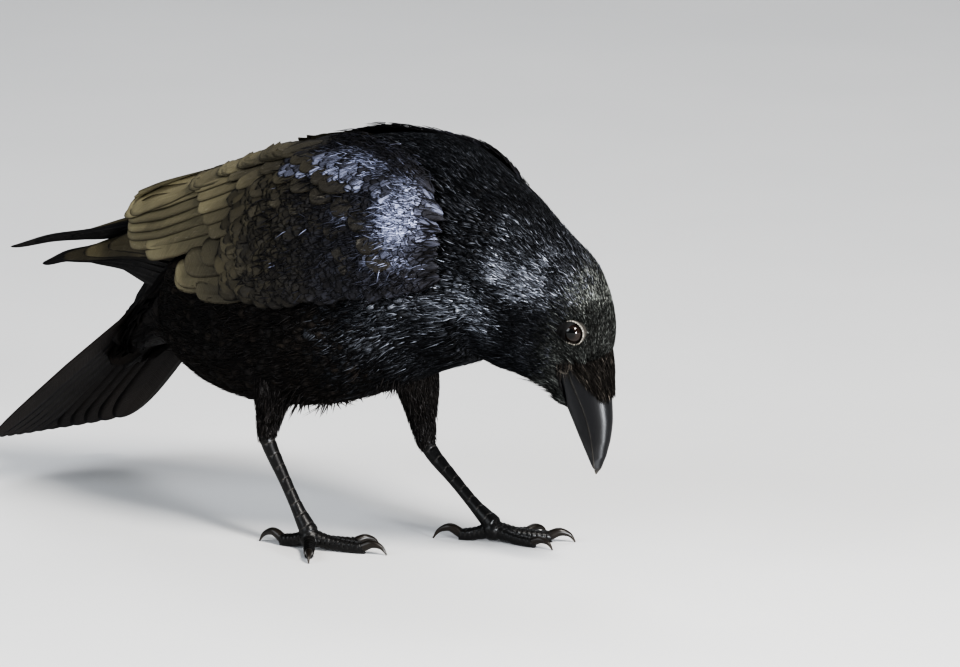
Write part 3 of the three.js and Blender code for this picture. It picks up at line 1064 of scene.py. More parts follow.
class Plumes:
    """Many thin closed feathers, gathered into one mesh."""

    def __init__(self) -> None:
        """Starts with no feathers."""
        self.parts: list[tuple] = []

    def add(self, lie: Lie, half: Array, section: Section, tone: Array, patch: Array, spread: Array,
            flip: float = 1, gloss: Array | float = 1.0, wear: Array | float = 0.5) -> None:
        """Adds feathers of one section.

        Args:
            lie: Where they run; the last step becomes each tip.
            half: The half width of each feather.
            section: Their cross-section.
            tone: A number from 0 to 1 that tells feathers apart.
            patch: The root's place on the baking map, one row for each feather.
            spread: The half width by step as a share of the widest.
            flip: -1 mirrors the section.
            gloss: How glossy each feather is, from 0 to 1.
            wear: How browned each feather is, from 0 to 1, or one row of steps for each feather.
        """
        across = np.array(section.across) * flip
        rise = np.array(section.rise)
        if flip < 0:
            across, rise = across[::-1], rise[::-1]
        width = half[:, None] * spread
        reach = across[None, None, :] * width[:, :-1, None]
        taper = np.clip(1.2 - lie.share[:-1], 0.25, 1)
        bulge = rise * section.thickness * taper[None, :, None]
        up = bulge - section.camber * np.abs(across) ** 2 * width[:, :-1, None]
        rings = (lie.middle[:, :-1, None, :] + lie.side[:, :-1, None, :] * reach[..., None]
                 + lie.out[:, :-1, None, :] * up[..., None])
        count, rows, sides = rings.shape[:3]
        points = np.concatenate([rings.reshape(count, -1, 3), lie.middle[:, -1:, :]], axis=1)
        share = np.broadcast_to(lie.share[None, :-1, None], (count, rows, sides))
        wide = np.broadcast_to(across, share.shape)

        def with_tip(values: Array, tip: Array | float) -> Array:
            """Puts the tip's value after those of the rings."""
            last = np.broadcast_to(np.asarray(tip, float).reshape(-1, 1), (count, 1))
            return np.concatenate([values.reshape(count, -1), last], axis=1)

        tones = np.broadcast_to(tone[:, None], (count, points.shape[1]))
        vane = np.stack([with_tip(wide, 0), with_tip(share, 1), tones], axis=-1)
        run = with_tip(share * lie.length[:, None, None], lie.length)
        span = np.stack([with_tip(reach, 0), run, tones], axis=-1)
        chart = patch[:, None, :] + PATCH / 2 * np.stack([vane[..., 0], 2 * vane[..., 1] - 1], axis=-1)
        levels = []
        for value in (gloss, wear, 0):
            level = np.asarray(value, float)
            if level.ndim == 2:
                level = np.concatenate([np.repeat(level[:, :-1], sides, axis=1), level[:, -1:]], axis=1)
            if level.ndim:
                level = level.reshape(len(level), -1)
            levels.append(np.broadcast_to(level, tones.shape))
        self.parts.append((points, rows, sides, vane, span, chart, np.stack(levels, axis=-1)))

    def shell(self) -> Shell:
        """All the feathers as one shell.

        Returns:
            The shell, with all that its points carry.
        """
        points, quads, tips, roots, vane, span, chart, mark = [], [], [], {}, [], [], [], []
        start = 0
        for place, rows, sides, local, size, map_place, level in self.parts:
            count, each = place.shape[:2]
            first = start + np.arange(count)[:, None, None] * each
            quads.append((first + tube_quads(rows, sides)).reshape(-1, 4))
            tips.append((first + fan((rows - 1) * sides, sides, each - 1)).reshape(-1, 3))
            root = first[:, 0] + np.arange(sides)[::-1]
            roots.setdefault(sides, []).append(root.reshape(-1, sides))
            points.append(place.reshape(-1, 3))
            vane.append(local.reshape(-1, 3))
            span.append(size.reshape(-1, 3))
            chart.append(map_place.reshape(-1, 2))
            mark.append(level.reshape(-1, 3))
            start += count * each
        faces = [np.concatenate(quads), np.concatenate(tips)] + [np.concatenate(r) for r in roots.values()]
        return Shell(np.concatenate(points), faces, *(np.concatenate(v) for v in (vane, span, chart, mark)))


# ---- Shader effects shared by the finishes --------------------------------------------------


class Board:
    """Adds nodes to a tree and wires them together."""

    def __init__(self, tree: Tree) -> None:
        """Works on one node tree."""
        self.tree = tree

    def wire(self, node: Node, wires: dict) -> None:
        """Feeds a node's inputs.

        Args:
            node: The node.
            wires: What goes into its inputs, by name or number: a socket or a plain value.
        """
        for key, value in wires.items():
            if isinstance(value, Socket):
                self.tree.links.new(value, node.inputs[key])
            else:
                node.inputs[key].default_value = value

    def put(self, kind: str, wires: dict | None = None, **settings: object) -> Node:
        """Adds a node.

        Args:
            kind: The node's type.
            wires: What goes into its inputs.
            **settings: Attributes set on the node.

        Returns:
            The node.
        """
        node = self.tree.nodes.new(kind)
        for key, value in settings.items():
            setattr(node, key, value)
        self.wire(node, wires or {})
        return node

    def group(self, tree: Tree, wires: dict) -> Node:
        """Adds a shared group with its own values."""
        return self.put("ShaderNodeGroup", wires, node_tree=tree)

    def attribute(self, label: str) -> Socket:
        """The triple of numbers that points carry under a label."""
        return self.put("ShaderNodeAttribute", attribute_name=label).outputs["Vector"]

    def place(self) -> Socket:
        """The place in the piece's own space."""
        return self.put("ShaderNodeTexCoord").outputs["Object"]

    def bump(self, strength: float, relief: float, height: Socket) -> Socket:
        """The normal bent by a height, whose relief is in millimetres."""
        wires = {"Strength": strength, "Distance": relief * MM, "Height": height}
        return self.put("ShaderNodeBump", wires).outputs[0]

    def math(self, how: str, a: object, b: object = 0.0, c: object = 0.0) -> Socket:
        """One step of arithmetic."""
        return self.put("ShaderNodeMath", {0: a, 1: b, 2: c}, operation=how).outputs[0]

    def times(self, a: object, b: object) -> Socket:
        """Two values multiplied."""
        return self.math("MULTIPLY", a, b)

    def fit(self, value: object, low: object, high: object, to_low: object = 0.0,
            to_high: object = 1.0) -> Socket:
        """Maps a value from one range to another, smoothly and held inside.

        Args:
            value: The value.
            low: The range's low end.
            high: Its high end.
            to_low: What the low end becomes.
            to_high: What the high end becomes.

        Returns:
            The new value.
        """
        names = ("Value", "From Min", "From Max", "To Min", "To Max")
        wires = dict(zip(names, (value, low, high, to_low, to_high)))
        return self.put("ShaderNodeMapRange", wires, interpolation_type="SMOOTHSTEP").outputs[0]

    def mix(self, share: object, a: object, b: object) -> Socket:
        """Mixes two colours, each a socket or a plain colour.

        Args:
            share: How much of the second colour.
            a: The first colour.
            b: The second colour.

        Returns:
            The mixed colour.
        """
        colours = (v if isinstance(v, Socket) else opaque(v) for v in (a, b))
        wires = dict(zip((0, 6, 7), (share, *colours)))
        return self.put("ShaderNodeMix", wires, data_type="RGBA").outputs[2]

    def noise(self, vector: object, scale: object, detail: float = 2.0) -> Socket:
        """Soft noise from 0 to 1."""
        wires = {"Vector": vector, "Scale": scale, "Detail": detail}
        return self.put("ShaderNodeTexNoise", wires).outputs[0]

    def triple(self, x: object, y: object, z: object) -> Socket:
        """A vector of three values."""
        return self.put("ShaderNodeCombineXYZ", {0: x, 1: y, 2: z}).outputs[0]

    def parts(self, vector: object) -> list:
        """The three values of a vector."""
        return list(self.put("ShaderNodeSeparateXYZ", {0: vector}).outputs)


def new_group(name: str, inputs: dict, outputs: tuple) -> tuple[Board, bpy.types.bpy_prop_collection, Node]:
    """Starts a shader node group whose outputs are values.

    Args:
        name: The group's name.
        inputs: The default value of each input by name, or None for a vector.
        outputs: The names of its outputs.

    Returns:
        A board on the group, the sockets of its inputs, and its output node.
    """
    tree = bpy.data.node_groups.new(name, "ShaderNodeTree")
    for key, value in inputs.items():
        kind = "NodeSocketVector" if value is None else "NodeSocketFloat"
        socket = tree.interface.new_socket(key, in_out="INPUT", socket_type=kind)
        if value is not None:
            socket.default_value = value
    for key in outputs:
        tree.interface.new_socket(key, in_out="OUTPUT", socket_type="NodeSocketFloat")
    return Board(tree), tree.nodes.new("NodeGroupInput").outputs, tree.nodes.new("NodeGroupOutput")


def barb_group() -> Tree:
    """Barbs that slant outwards from the shaft, grouped into small clumps.

    Returns:
        The group.
    """
    board, given, out = new_group("Barbs", {"Span": None, "Spacing": 0.8, "Slant": 0.8},
                                  ("Lines", "Height"))
    across, along, tone = board.parts(given["Span"])
    aside = board.math("ABSOLUTE", across)
    place = board.math("SUBTRACT", along, board.times(aside, given["Slant"]))
    clump = board.noise(board.triple(place, board.times(aside, 0.12), board.times(tone, 57.0)), 0.9)
    wave = board.math("DIVIDE", board.times(place, 6.2832), given["Spacing"])
    ripple = board.math("SINE", board.math("ADD", wave, board.times(clump, 9.0)))
    lines = board.math("MULTIPLY_ADD", ripple, 0.5, 0.5)
    board.wire(out, {
        "Lines": board.times(lines, board.fit(clump, 0.3, 0.7, 0.35, 1.0)),
        "Height": board.math("MULTIPLY_ADD", clump, 0.6, board.times(lines, 0.4)),
    })
    return board.tree


def streak_group() -> Tree:
    """Hair-fine bright streaks along the lie, present on some locks and not on others.

    Returns:
        The group.
    """
    board, given, out = new_group("Streaks", {"Span": None, "Fineness": 2.0, "Amount": 0.5}, ("Streaks",))
    across, along, tone = board.parts(given["Span"])
    fine = board.times(across, given["Fineness"])
    grain = board.noise(board.triple(fine, board.times(along, 0.16), board.times(tone, 91.0)), 1.0)
    level = board.math("SUBTRACT", 0.72, board.times(given["Amount"], 0.4))
    chosen = board.fit(board.math("FRACT", board.times(tone, 7.13)), 0.15, 0.85, 0.25, 1.0)
    streaks = board.fit(grain, level, board.math("ADD", level, 0.16))
    board.wire(out, {"Streaks": board.times(streaks, chosen)})
    return board.tree


def rim_group() -> Tree:
    """The thin rim of a vane: its side edges and its tip, and a share towards the tip for painted shade at
    the root.

    Returns:
        The group.
    """
    board, given, out = new_group("Rim", {"Vane": None, "Width": 0.12}, ("Rim", "Tip"))
    across, along, _ = board.parts(given["Vane"])
    side = board.fit(board.math("ABSOLUTE", across), board.math("SUBTRACT", 1.0, given["Width"]), 1.0)
    tip = board.fit(along, board.math("SUBTRACT", 1.0, board.times(given["Width"], 0.4)), 1.0)
    board.wire(out, {"Rim": board.math("MAXIMUM", side, tip), "Tip": board.fit(along, 0.55, 1.0)})
    return board.tree


def bleach_group() -> Tree:
    """Broad soft patches where the sun has browned the plumage.

    Returns:
        The group.
    """
    board, given, out = new_group("Bleaching", {"Tone": 0.5}, ("Worn",))
    own = board.math("MULTIPLY_ADD", given["Tone"], 0.35, board.noise(board.place(), 30.0, 3.0))
    board.wire(out, {"Worn": board.fit(own, 0.45, 0.95)})
    return board.tree


def grain_group() -> Tree:
    """Fine lengthwise grain and pits, for horn, claws and scales.

    Returns:
        The group.
    """
    board, given, out = new_group("Grain", {"Span": None, "Stretch": 0.2, "Scale": 1.0}, ("Grain", "Pits"))
    across, along, _ = board.parts(given["Span"])
    drawn = board.triple(across, board.times(along, given["Stretch"]), 0.0)
    board.wire(out, {
        "Grain": board.noise(drawn, given["Scale"], 4.0),
        "Pits": board.noise(board.place(), 900.0),
    })
    return board.tree


class Effects:
    """The shared shader groups, each built once."""

    def __init__(self) -> None:
        """Builds every group."""
        self.barbs = barb_group()
        self.streaks = streak_group()
        self.rim = rim_group()
        self.bleach = bleach_group()
        self.grain = grain_group()


EFFECTS = Effects()


def opaque(colour: Colour) -> tuple[float, float, float, float]:
    """A colour with full alpha."""
    return (*colour, 1.0)


def new_material(name: str) -> tuple[Material, Board, Node]:
    """Starts a material and returns it with a board and its Principled shader.

    Args:
        name: The material's name.

    Returns:
        The material, a board on it and its shader.
    """
    material = bpy.data.materials.new(name)
    material.use_nodes = True
    return material, Board(material.node_tree), material.node_tree.nodes["Principled BSDF"]


# ---- Finishes -------------------------------------------------------------------------------


@dataclass(frozen=True)
class FeatherFinish:
    """A feather's finish: dark ground, coloured gloss in streaks and barbs, worn rims, painted shade towards
    the root.
    """

    name: str
    ground: Colour
    gloss: Colour
    worn: Colour
    rim: Colour
    metallic: tuple[float, float] = (0.1, 0.55)
    roughness: tuple[float, float] = (0.55, 0.3)
    streak: float = 0.5
    fineness: float = 2.0
    spacing: float = 0.9
    slant: float = 0.8
    relief: float = 0.25
    rim_width: float = 0.12
    wear: float = 0.5  # how unevenly worn it is
    barbs: float = 0.45  # how much the barbs shine
    tint: Colour = (0.75, 0.82, 1.0)
    specular: float = 0.5

    @cached_property
    def material(self) -> Material:
        """The finish as a material.

        Returns:
            The material.
        """
        material, board, shader = new_material(self.name)
        vane, span = board.attribute("vane"), board.attribute("span")
        gloss, wear, _ = board.parts(board.attribute("mark"))
        wires = {"Span": span, "Spacing": self.spacing, "Slant": self.slant}
        lines, height = board.group(EFFECTS.barbs, wires).outputs
        wires = {"Span": span, "Fineness": self.fineness, "Amount": self.streak}
        (streaks,) = board.group(EFFECTS.streaks, wires).outputs
        rim, tip = board.group(EFFECTS.rim, {"Vane": vane, "Width": self.rim_width}).outputs
        (worn,) = board.group(EFFECTS.bleach, {"Tone": board.parts(vane)[2]}).outputs
        lit = board.math("MAXIMUM", streaks, board.times(lines, self.barbs))
        shine = board.times(lit, gloss)
        base = board.mix(shine, self.ground, self.gloss)
        uneven = board.times(board.fit(worn, 0.0, 1.0, 1.0 - self.wear, 1.0),
                             board.fit(lines, 0.0, 1.0, 0.74, 1.0))
        # Painted shade: the worn colour is held back towards each feather's root, so the covered half is
        # darker.
        worn_with_root_shade = board.times(uneven, board.fit(tip, 0.0, 1.0, 0.72, 1.0))
        aged = board.mix(board.times(wear, worn_with_root_shade), base, self.worn)
        board.wire(shader, {
            "Base Color": board.mix(rim, aged, self.rim),
            "Metallic": board.fit(shine, 0.0, 1.0, *self.metallic),
            "Roughness": board.fit(shine, 0.0, 1.0, *self.roughness),
            "Normal": board.bump(0.6, self.relief, height),
            "Specular Tint": opaque(self.tint),
            "Specular IOR Level": self.specular,
        })
        return material


BODY_GLOSS = FeatherFinish(
    "body_gloss", (0.0045, 0.0044, 0.0046), (0.64, 0.67, 0.76), (0.008, 0.007, 0.006),
    (0.0035, 0.0035, 0.004), metallic=(0.0, 0.8), roughness=(0.6, 0.42), streak=0.9, fineness=2.6,
    wear=0.8, specular=0.08,
)
HEAD_GLOSS = FeatherFinish(
    "head_gloss", (0.0047, 0.0047, 0.0044), (0.68, 0.71, 0.66), (0.008, 0.007, 0.006),
    (0.0035, 0.0035, 0.004), metallic=(0.0, 0.8), roughness=(0.6, 0.42), streak=0.9, fineness=3.0,
    wear=0.7, tint=(0.85, 0.95, 1.0), specular=0.08,
)
BELLY_MATT = FeatherFinish(
    "belly_matt", (0.0085, 0.0072, 0.0062), (0.26, 0.25, 0.25), (0.020, 0.0155, 0.0115),
    (0.006, 0.005, 0.004), metallic=(0.0, 0.4), roughness=(0.7, 0.45), streak=0.5, wear=0.8,
    specular=0.08,
)
SHOULDER_GLOSS = FeatherFinish(
    "shoulder_gloss", (0.0075, 0.0066, 0.0060), (0.56, 0.60, 0.84), (0.19, 0.165, 0.10),
    (0.004, 0.0036, 0.0034), metallic=(0.0, 0.85), roughness=(0.55, 0.36), streak=0.9, fineness=1.4,
    spacing=1.0, slant=0.9, wear=0.6, rim_width=0.16, tint=(0.85, 0.87, 1.0), specular=0.1,
)
WING_BROWN = FeatherFinish(
    "wing_brown", (0.009, 0.0078, 0.0068), (0.10, 0.092, 0.08), (0.255, 0.224, 0.134),
    (0.055, 0.046, 0.030), metallic=(0.0, 0.3), roughness=(0.6, 0.45), streak=0.3, fineness=1.0,
    spacing=1.1, slant=1.1, relief=0.3, rim_width=0.08, wear=0.45, barbs=0.3, tint=(1.0, 0.97, 0.9),
    specular=0.15,
)
PRIMARY_BLACK = FeatherFinish(
    "primary_black", (0.006, 0.0052, 0.0045), (0.05, 0.045, 0.038), (0.12, 0.10, 0.055),
    (0.004, 0.0035, 0.003), metallic=(0.0, 0.3), roughness=(0.6, 0.45), streak=0.25, fineness=0.8,
    spacing=1.2, slant=1.2, rim_width=0.1, wear=0.6, barbs=0.3, specular=0.12,
)
TAIL_BROWN = FeatherFinish(
    "tail_brown", (0.0062, 0.0050, 0.0040), (0.034, 0.027, 0.022), (0.019, 0.0145, 0.0105),
    (0.005, 0.004, 0.0033), metallic=(0.0, 0.2), roughness=(0.65, 0.5), streak=0.25, fineness=0.7,
    spacing=1.3, slant=1.2, rim_width=0.05, wear=0.6, barbs=0.3, specular=0.14,
)
BRISTLE_BROWN = FeatherFinish(
    "bristle_brown", (0.0042, 0.0034, 0.0030), (0.30, 0.26, 0.22), (0.0060, 0.0048, 0.0040),
    (0.004, 0.0034, 0.003), metallic=(0.0, 0.4), roughness=(0.55, 0.40), streak=0.6, fineness=3.0,
    wear=0.6, tint=(1.0, 0.95, 0.9), specular=0.12,
)


@dataclass(frozen=True)
class HornFinish:
    """Polished black horn with a fine grain and a paler worn edge."""

    name: str
    ground: Colour
    worn: Colour
    roughness: tuple[float, float] = (0.2, 0.34)
    relief: float = 0.12
    specular: float = 0.42
    drawn: float = 0.0  # how far its highlights are drawn out lengthwise

    @cached_property
    def material(self) -> Material:
        """The finish as a material; the third value of vane is where the horn is worn.

        Returns:
            The material.
        """
        material, board, shader = new_material(self.name)
        worn = board.parts(board.attribute("vane"))[2]
        wires = {"Span": board.attribute("span"), "Stretch": 0.12, "Scale": 1.6}
        grain, pits = board.group(EFFECTS.grain, wires).outputs
        rubbed = board.times(worn, board.fit(grain, 0.3, 0.62, 0.35, 1.0))
        height = board.math("MULTIPLY_ADD", grain, 0.8, board.times(pits, 0.25))
        board.wire(shader, {
            "Base Color": board.mix(rubbed, self.ground, self.worn),
            "Roughness": board.fit(grain, 0.3, 0.7, *self.roughness),
            "Normal": board.bump(0.35, self.relief, height),
            "Specular IOR Level": self.specular,
            "Anisotropic": self.drawn,
            "Anisotropic Rotation": 0.25,
        })
        return material


BILL_HORN = HornFinish("bill_horn", (0.0035, 0.0035, 0.0042), (0.22, 0.20, 0.17), roughness=(0.36, 0.46),
                       relief=0.06, specular=0.36, drawn=0.85)
CLAW_HORN = HornFinish("claw_horn", (0.004, 0.0035, 0.003), (0.03, 0.022, 0.016), roughness=(0.28, 0.4),
                       specular=0.3)


@dataclass(frozen=True)
class SkinFinish:
    """Bare skin: dark, with paler creases where the third value of vane says so."""

    name: str
    ground: Colour
    crease: Colour
    roughness: tuple[float, float] = (0.32, 0.6)
    relief: float = 0.15
    specular: float = 0.3

    @cached_property
    def material(self) -> Material:
        """The finish as a material.

        Returns:
            The material.
        """
        material, board, shader = new_material(self.name)
        crease = board.parts(board.attribute("vane"))[2]
        wires = {"Span": board.attribute("span"), "Stretch": 0.6, "Scale": 1.2}
        grain, pits = board.group(EFFECTS.grain, wires).outputs
        dusty = board.times(crease, board.fit(pits, 0.35, 0.65, 0.4, 1.0))
        mottled = board.mix(board.times(grain, 0.12), self.ground, self.crease)
        height = board.math("MULTIPLY_ADD", grain, 0.5, board.times(pits, 0.5))
        board.wire(shader, {
            "Base Color": board.mix(dusty, mottled, self.crease),
            "Roughness": board.fit(crease, 0.0, 1.0, *self.roughness),
            "Normal": board.bump(0.5, self.relief, height),
            "Specular IOR Level": self.specular,
        })
        return material


BODY_SKIN = SkinFinish("body_skin", (0.004, 0.0037, 0.0037), (0.010, 0.009, 0.009), (0.6, 0.75),
                       specular=0.08)
LEG_SKIN = SkinFinish("leg_skin", (0.003, 0.003, 0.0032), (0.05, 0.045, 0.04), (0.36, 0.5), relief=0.2,
                      specular=0.22)
LID_SKIN = SkinFinish("lid_skin", (0.0045, 0.0042, 0.004), (0.34, 0.31, 0.265), (0.6, 0.45), specular=0.15)


@dataclass(frozen=True)
class EyeFinish:
    """A wet eye: black pupil, dark brown iris with fine spokes, black limbus."""

    name: str = "wet_eye"
    pupil: Colour = (0.002, 0.002, 0.002)
    iris: Colour = (0.013, 0.008, 0.006)
    limbus: Colour = (0.004, 0.003, 0.003)
    pupil_edge: float = 0.37
    iris_edge: float = 0.86

    @cached_property
    def material(self) -> Material:
        """The finish as a material; the second value of vane runs from the pupil outwards.

        Returns:
            The material.
        """
        material, board, shader = new_material(self.name)
        around, ring, _ = board.parts(board.attribute("vane"))
        spokes = board.noise(board.triple(board.times(around, 40.0), board.times(ring, 3.0), 0.0), 1.0)
        brown = board.mix(board.fit(spokes, 0.3, 0.7), tuple(v * 0.45 for v in self.iris), self.iris)
        inner = board.fit(ring, self.pupil_edge - 0.03, self.pupil_edge + 0.03)
        outer = board.fit(ring, self.iris_edge - 0.08, self.iris_edge + 0.05)
        colour = board.mix(outer, board.mix(inner, self.pupil, brown), self.limbus)
        board.wire(shader, {"Base Color": colour, "Roughness": 0.03, "Specular IOR Level": 0.38})
        return material


# ---- Pieces ---------------------------------------------------------------------------------


def settle(piece: Piece, slot: Slot, *nodes: str) -> Piece:
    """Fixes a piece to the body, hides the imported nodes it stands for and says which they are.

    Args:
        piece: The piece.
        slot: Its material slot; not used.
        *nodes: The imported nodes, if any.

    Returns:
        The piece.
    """
    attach(piece, BODY)
    if nodes:
        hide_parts(*nodes)
    LOG.info("%s: %d faces, stands for %s", piece.name, len(piece.data.polygons),
             ", ".join(nodes) or "nothing")
    return piece


@dataclass(frozen=True)
class Chart:
    """The unwrap of the skin's own shape that the baking map uses."""

    margin: float = 0.02
    body_width: float = 0.6
    limb_first: float = 0.66
    limb_width: float = 0.03

    def place(self, first: float, width: float, down: Array, angle: Array) -> Array:
        """Places on a strip of the map, by share along and angle round.

        Args:
            first: Where the strip begins.
            width: How wide it is.
            down: Shares along the body or limb.
            angle: Angles round it.

        Returns:
            The places.
        """
        turn = (angle / (2 * math.pi) + 0.5) % 1
        return np.stack([first + width * turn, self.margin + (1 - 2 * self.margin) * down], axis=-1)

    def body(self, down: Array, angle: Array) -> Array:
        """The place of a body point, by its station share and angle."""
        return self.place(self.margin, self.body_width, down, angle)

    def limb(self, index: int, down: Array, angle: Array) -> Array:
        """The place of a point on a limb, by its number, share along and angle."""
        first = self.limb_first + index * self.limb_width * 1.1
        return self.place(first, self.limb_width, down, angle)


CHART = Chart()


@dataclass(frozen=True)
class Coat:
    """A region of small body feathers.

    Ranges are in stations along the body and degrees from the middle of the back.
    """

    name: str
    finish: FeatherFinish
    count: int
    stations: tuple[float, float]
    arc: tuple[float, float]
    seed: int
    strands: int = 0  # fine strands in each tuft
    leaf: bool = False  # whether each tuft has a vane
    outline: Outline = Outline.ROUND
    stray: float = 0.16  # how far tufts turn from the lie, in radians
    proud: float = 0.3  # how far tips stand out beyond the outline
    gloss: tuple[float, float] = (0.03, 1.0)  # the least and most glossy tufts
    fade: float = 0.9  # stations over which the coat thins at its ends, into the next one
    # What a folded wing keeps bare: rear and front x, how far inside its upper and lower edge, and
    # how far from the bird's middle.
    under_wing: tuple = (-125, 66, 7, 9, 8)
    longer: float = 1.0

    # Painted sheen on each side, as if lit: x, height, reach and strength, below 0 painted shade where dull.
    painted_shine_spots: tuple = (
        (80, 136, 11, 2.3), (96, 140, 10, 1.6), (91, 158, 8, 0.5),
        (62, 117, 12, 0.8), (38, 120, 11, 0.6), (124, 151, 6, 2.8),
        (131, 146, 6, 3.8), (137, 140, 4.5, 2.6), (111, 136, 6, 1.9),
        (112, 126, 6, 1.4), (106, 173, 10, 0.25), (123, 166, 8, 0.6),
        (149, 149, 6, 0.8), (141, 158, 7, 0.6), (120.4, 142, 3.2, -3.0),
        (137, 124, 5, -0.8), (60, 200, 16, 0.12), (85, 190, 12, 0.12),
        (129, 131, 4, -0.5), (150, 139, 4, 1.2),
    )

    # Station, tuft length, half width of its vane and depth of the coat.
    sizes: tuple = (
        (0, 24, 6.0, 4.0), (2, 27, 6.5, 5.5), (5, 25, 6.0, 5.5), (7, 20, 4.6, 5.0),
        (8, 16, 3.6, 4.5), (9, 13.5, 2.8, 4.0), (10, 11, 2.2, 3.2), (11, 8.5, 1.7, 2.6),
        (12, 7, 1.4, 2.1), (13, 5.5, 1.1, 1.7), (14, 4.6, 0.9, 1.4), (15, 4.0, 0.8, 1.2),
        (16, 3.4, 0.7, 1.0),
    )
    strand_half: tuple = ((0, 0.5), (7, 0.40), (10, 0.31), (13, 0.26), (16, 0.18))

    def build(self) -> Piece:
        """Lays the coat and makes its piece.

        Returns:
            The piece.
        """
        rng = np.random.default_rng(self.seed)
        low, high = (s / TRUNK.last for s in self.stations)
        near, far = (math.radians(a) for a in self.arc)
        down, angle = TRUNK.scatter(self.count, (low, high), (near, far), self.seed)
        angle = angle * np.where(np.arange(len(down)) % 2, 1, -1)
        station = down * TRUNK.last
        table = np.array(self.sizes, float)
        length, half, depth = (np.interp(station, table[:, 0], table[:, k]) for k in (1, 2, 3))
        length = length * rng.uniform(0.82, 1.18, len(down)) * self.longer
        thin = np.minimum(station - self.stations[0], self.stations[1] - station) / max(self.fade, 1e-6)
        keep = self.clear(down, angle) & (rng.random(len(down)) < np.clip(thin, 0, 1) + 0.12)
        length, near_eye = self.stopped(down, angle, length)
        keep &= length > 2.0
        roots = (down, angle, station, length, half, depth)
        down, angle, station, length, half, depth = (v[keep] for v in roots)
        half = np.where(near_eye[keep], half * 0.75, half)
        count = len(down)
        veer = rng.normal(0, self.stray, count)
        tone = rng.random(count)
        stand = self.proud * rng.random(count) ** 2 * np.where(near_eye[keep], 0.2, 1)
        patch = CHART.body(down, angle)
        least, most = self.gloss
        # The gloss carries painted sheen by place, which also pales the colour.
        gloss = least + (most - least) * rng.random(count) ** 1.3 * self.sheen(down, angle)
        plumes = Plumes()
        if self.leaf:
            scaly = self.outline is Outline.ROUND
            share = steps(5 if scaly else 4)
            lie = TRUNK.run((down, angle), length, veer, (-depth, stand - 0.2), share)
            section = LEAF if scaly else TUFT
            plumes.add(lie, half, section, tone, patch, self.outline.half(share), gloss=gloss * 0.6,
                       wear=tone)
        if self.strands:
            tufts = Tufts(down, angle, length, half, depth, veer, stand, tone, gloss, patch)
            self.comb(plumes, rng, tufts)
        return plumes.shell().build(self.name, self.finish.material)

    def sheen(self, down: Array, angle: Array) -> Array:
        """How glossy the coat is by place: loose patches, painted sheen on cheek and breast, painted shade in
        spots.

        Args:
            down: Shares along the body.
            angle: Angles round it.

        Returns:
            How glossy each place is.
        """
        place = TRUNK.point(down, angle)
        shine = np.full(len(down), 0.08)
        # Painted sheen and shade: each spot raises or lowers the gloss.
        for x, z, reach, strength in self.painted_shine_spots:
            away = (place[:, 0] - x) ** 2 + (place[:, 2] - z) ** 2
            shine += strength * np.exp(-(away / reach**2))
        loose = patchy(place[:, 0] + 2 * place[:, 1], place[:, 2], 5.0, self.seed)
        return np.maximum(shine, 0.03) * (0.25 + 2.2 * loose**2)

    @staticmethod
    def stopped(down: Array, angle: Array, length: Array) -> tuple[Array, Array]:
        """Shortens tufts that would run over an eye.

        Args:
            down: Shares along the body.
            angle: Angles round it.
            length: The tufts' lengths.

        Returns:
            The lengths, 0 for a tuft that has no room, and whether each was shortened.
        """
        slope = np.maximum(np.linalg.norm(TRUNK.slopes(down, angle)[0], axis=-1), 1)
        shares = np.linspace(0.1, 1, 10)
        room = np.ones(len(down))
        for share in shares[::-1]:
            place = TRUNK.point(down - length * share / slope, angle)
            for side in Side:
                away, out = EYES.distance(place, side)
                over = (away < EYES.kept_open) & (out > EYES.level)
                room = np.where(over, np.minimum(room, share - 0.1), room)
        return np.where(room < 0.35, 0, length * room), room < 1

    def clear(self, down: Array, angle: Array) -> Array:
        """Tells which roots are clear of the eyes, the bristles and the folded wings.

        Args:
            down: Shares along the body.
            angle: Angles round it.

        Returns:
            Whether each root is kept.
        """
        place = TRUNK.point(down, angle)
        keep = ~BILL.holds(place)
        for side in Side:
            away, ahead = EYES.distance(place, side)
            keep &= (away > EYES.bare) | (ahead < EYES.level)
        x, y, z = place.T
        wing = read_table(np.array(WingForm.sections, float), x)
        rear, front, above, below, inner = self.under_wing
        under = (z < wing[:, 1] - above) & (z > wing[:, 3] + below)
        return keep & ~((x < front) & (x > rear) & under & (np.abs(y) > inner))

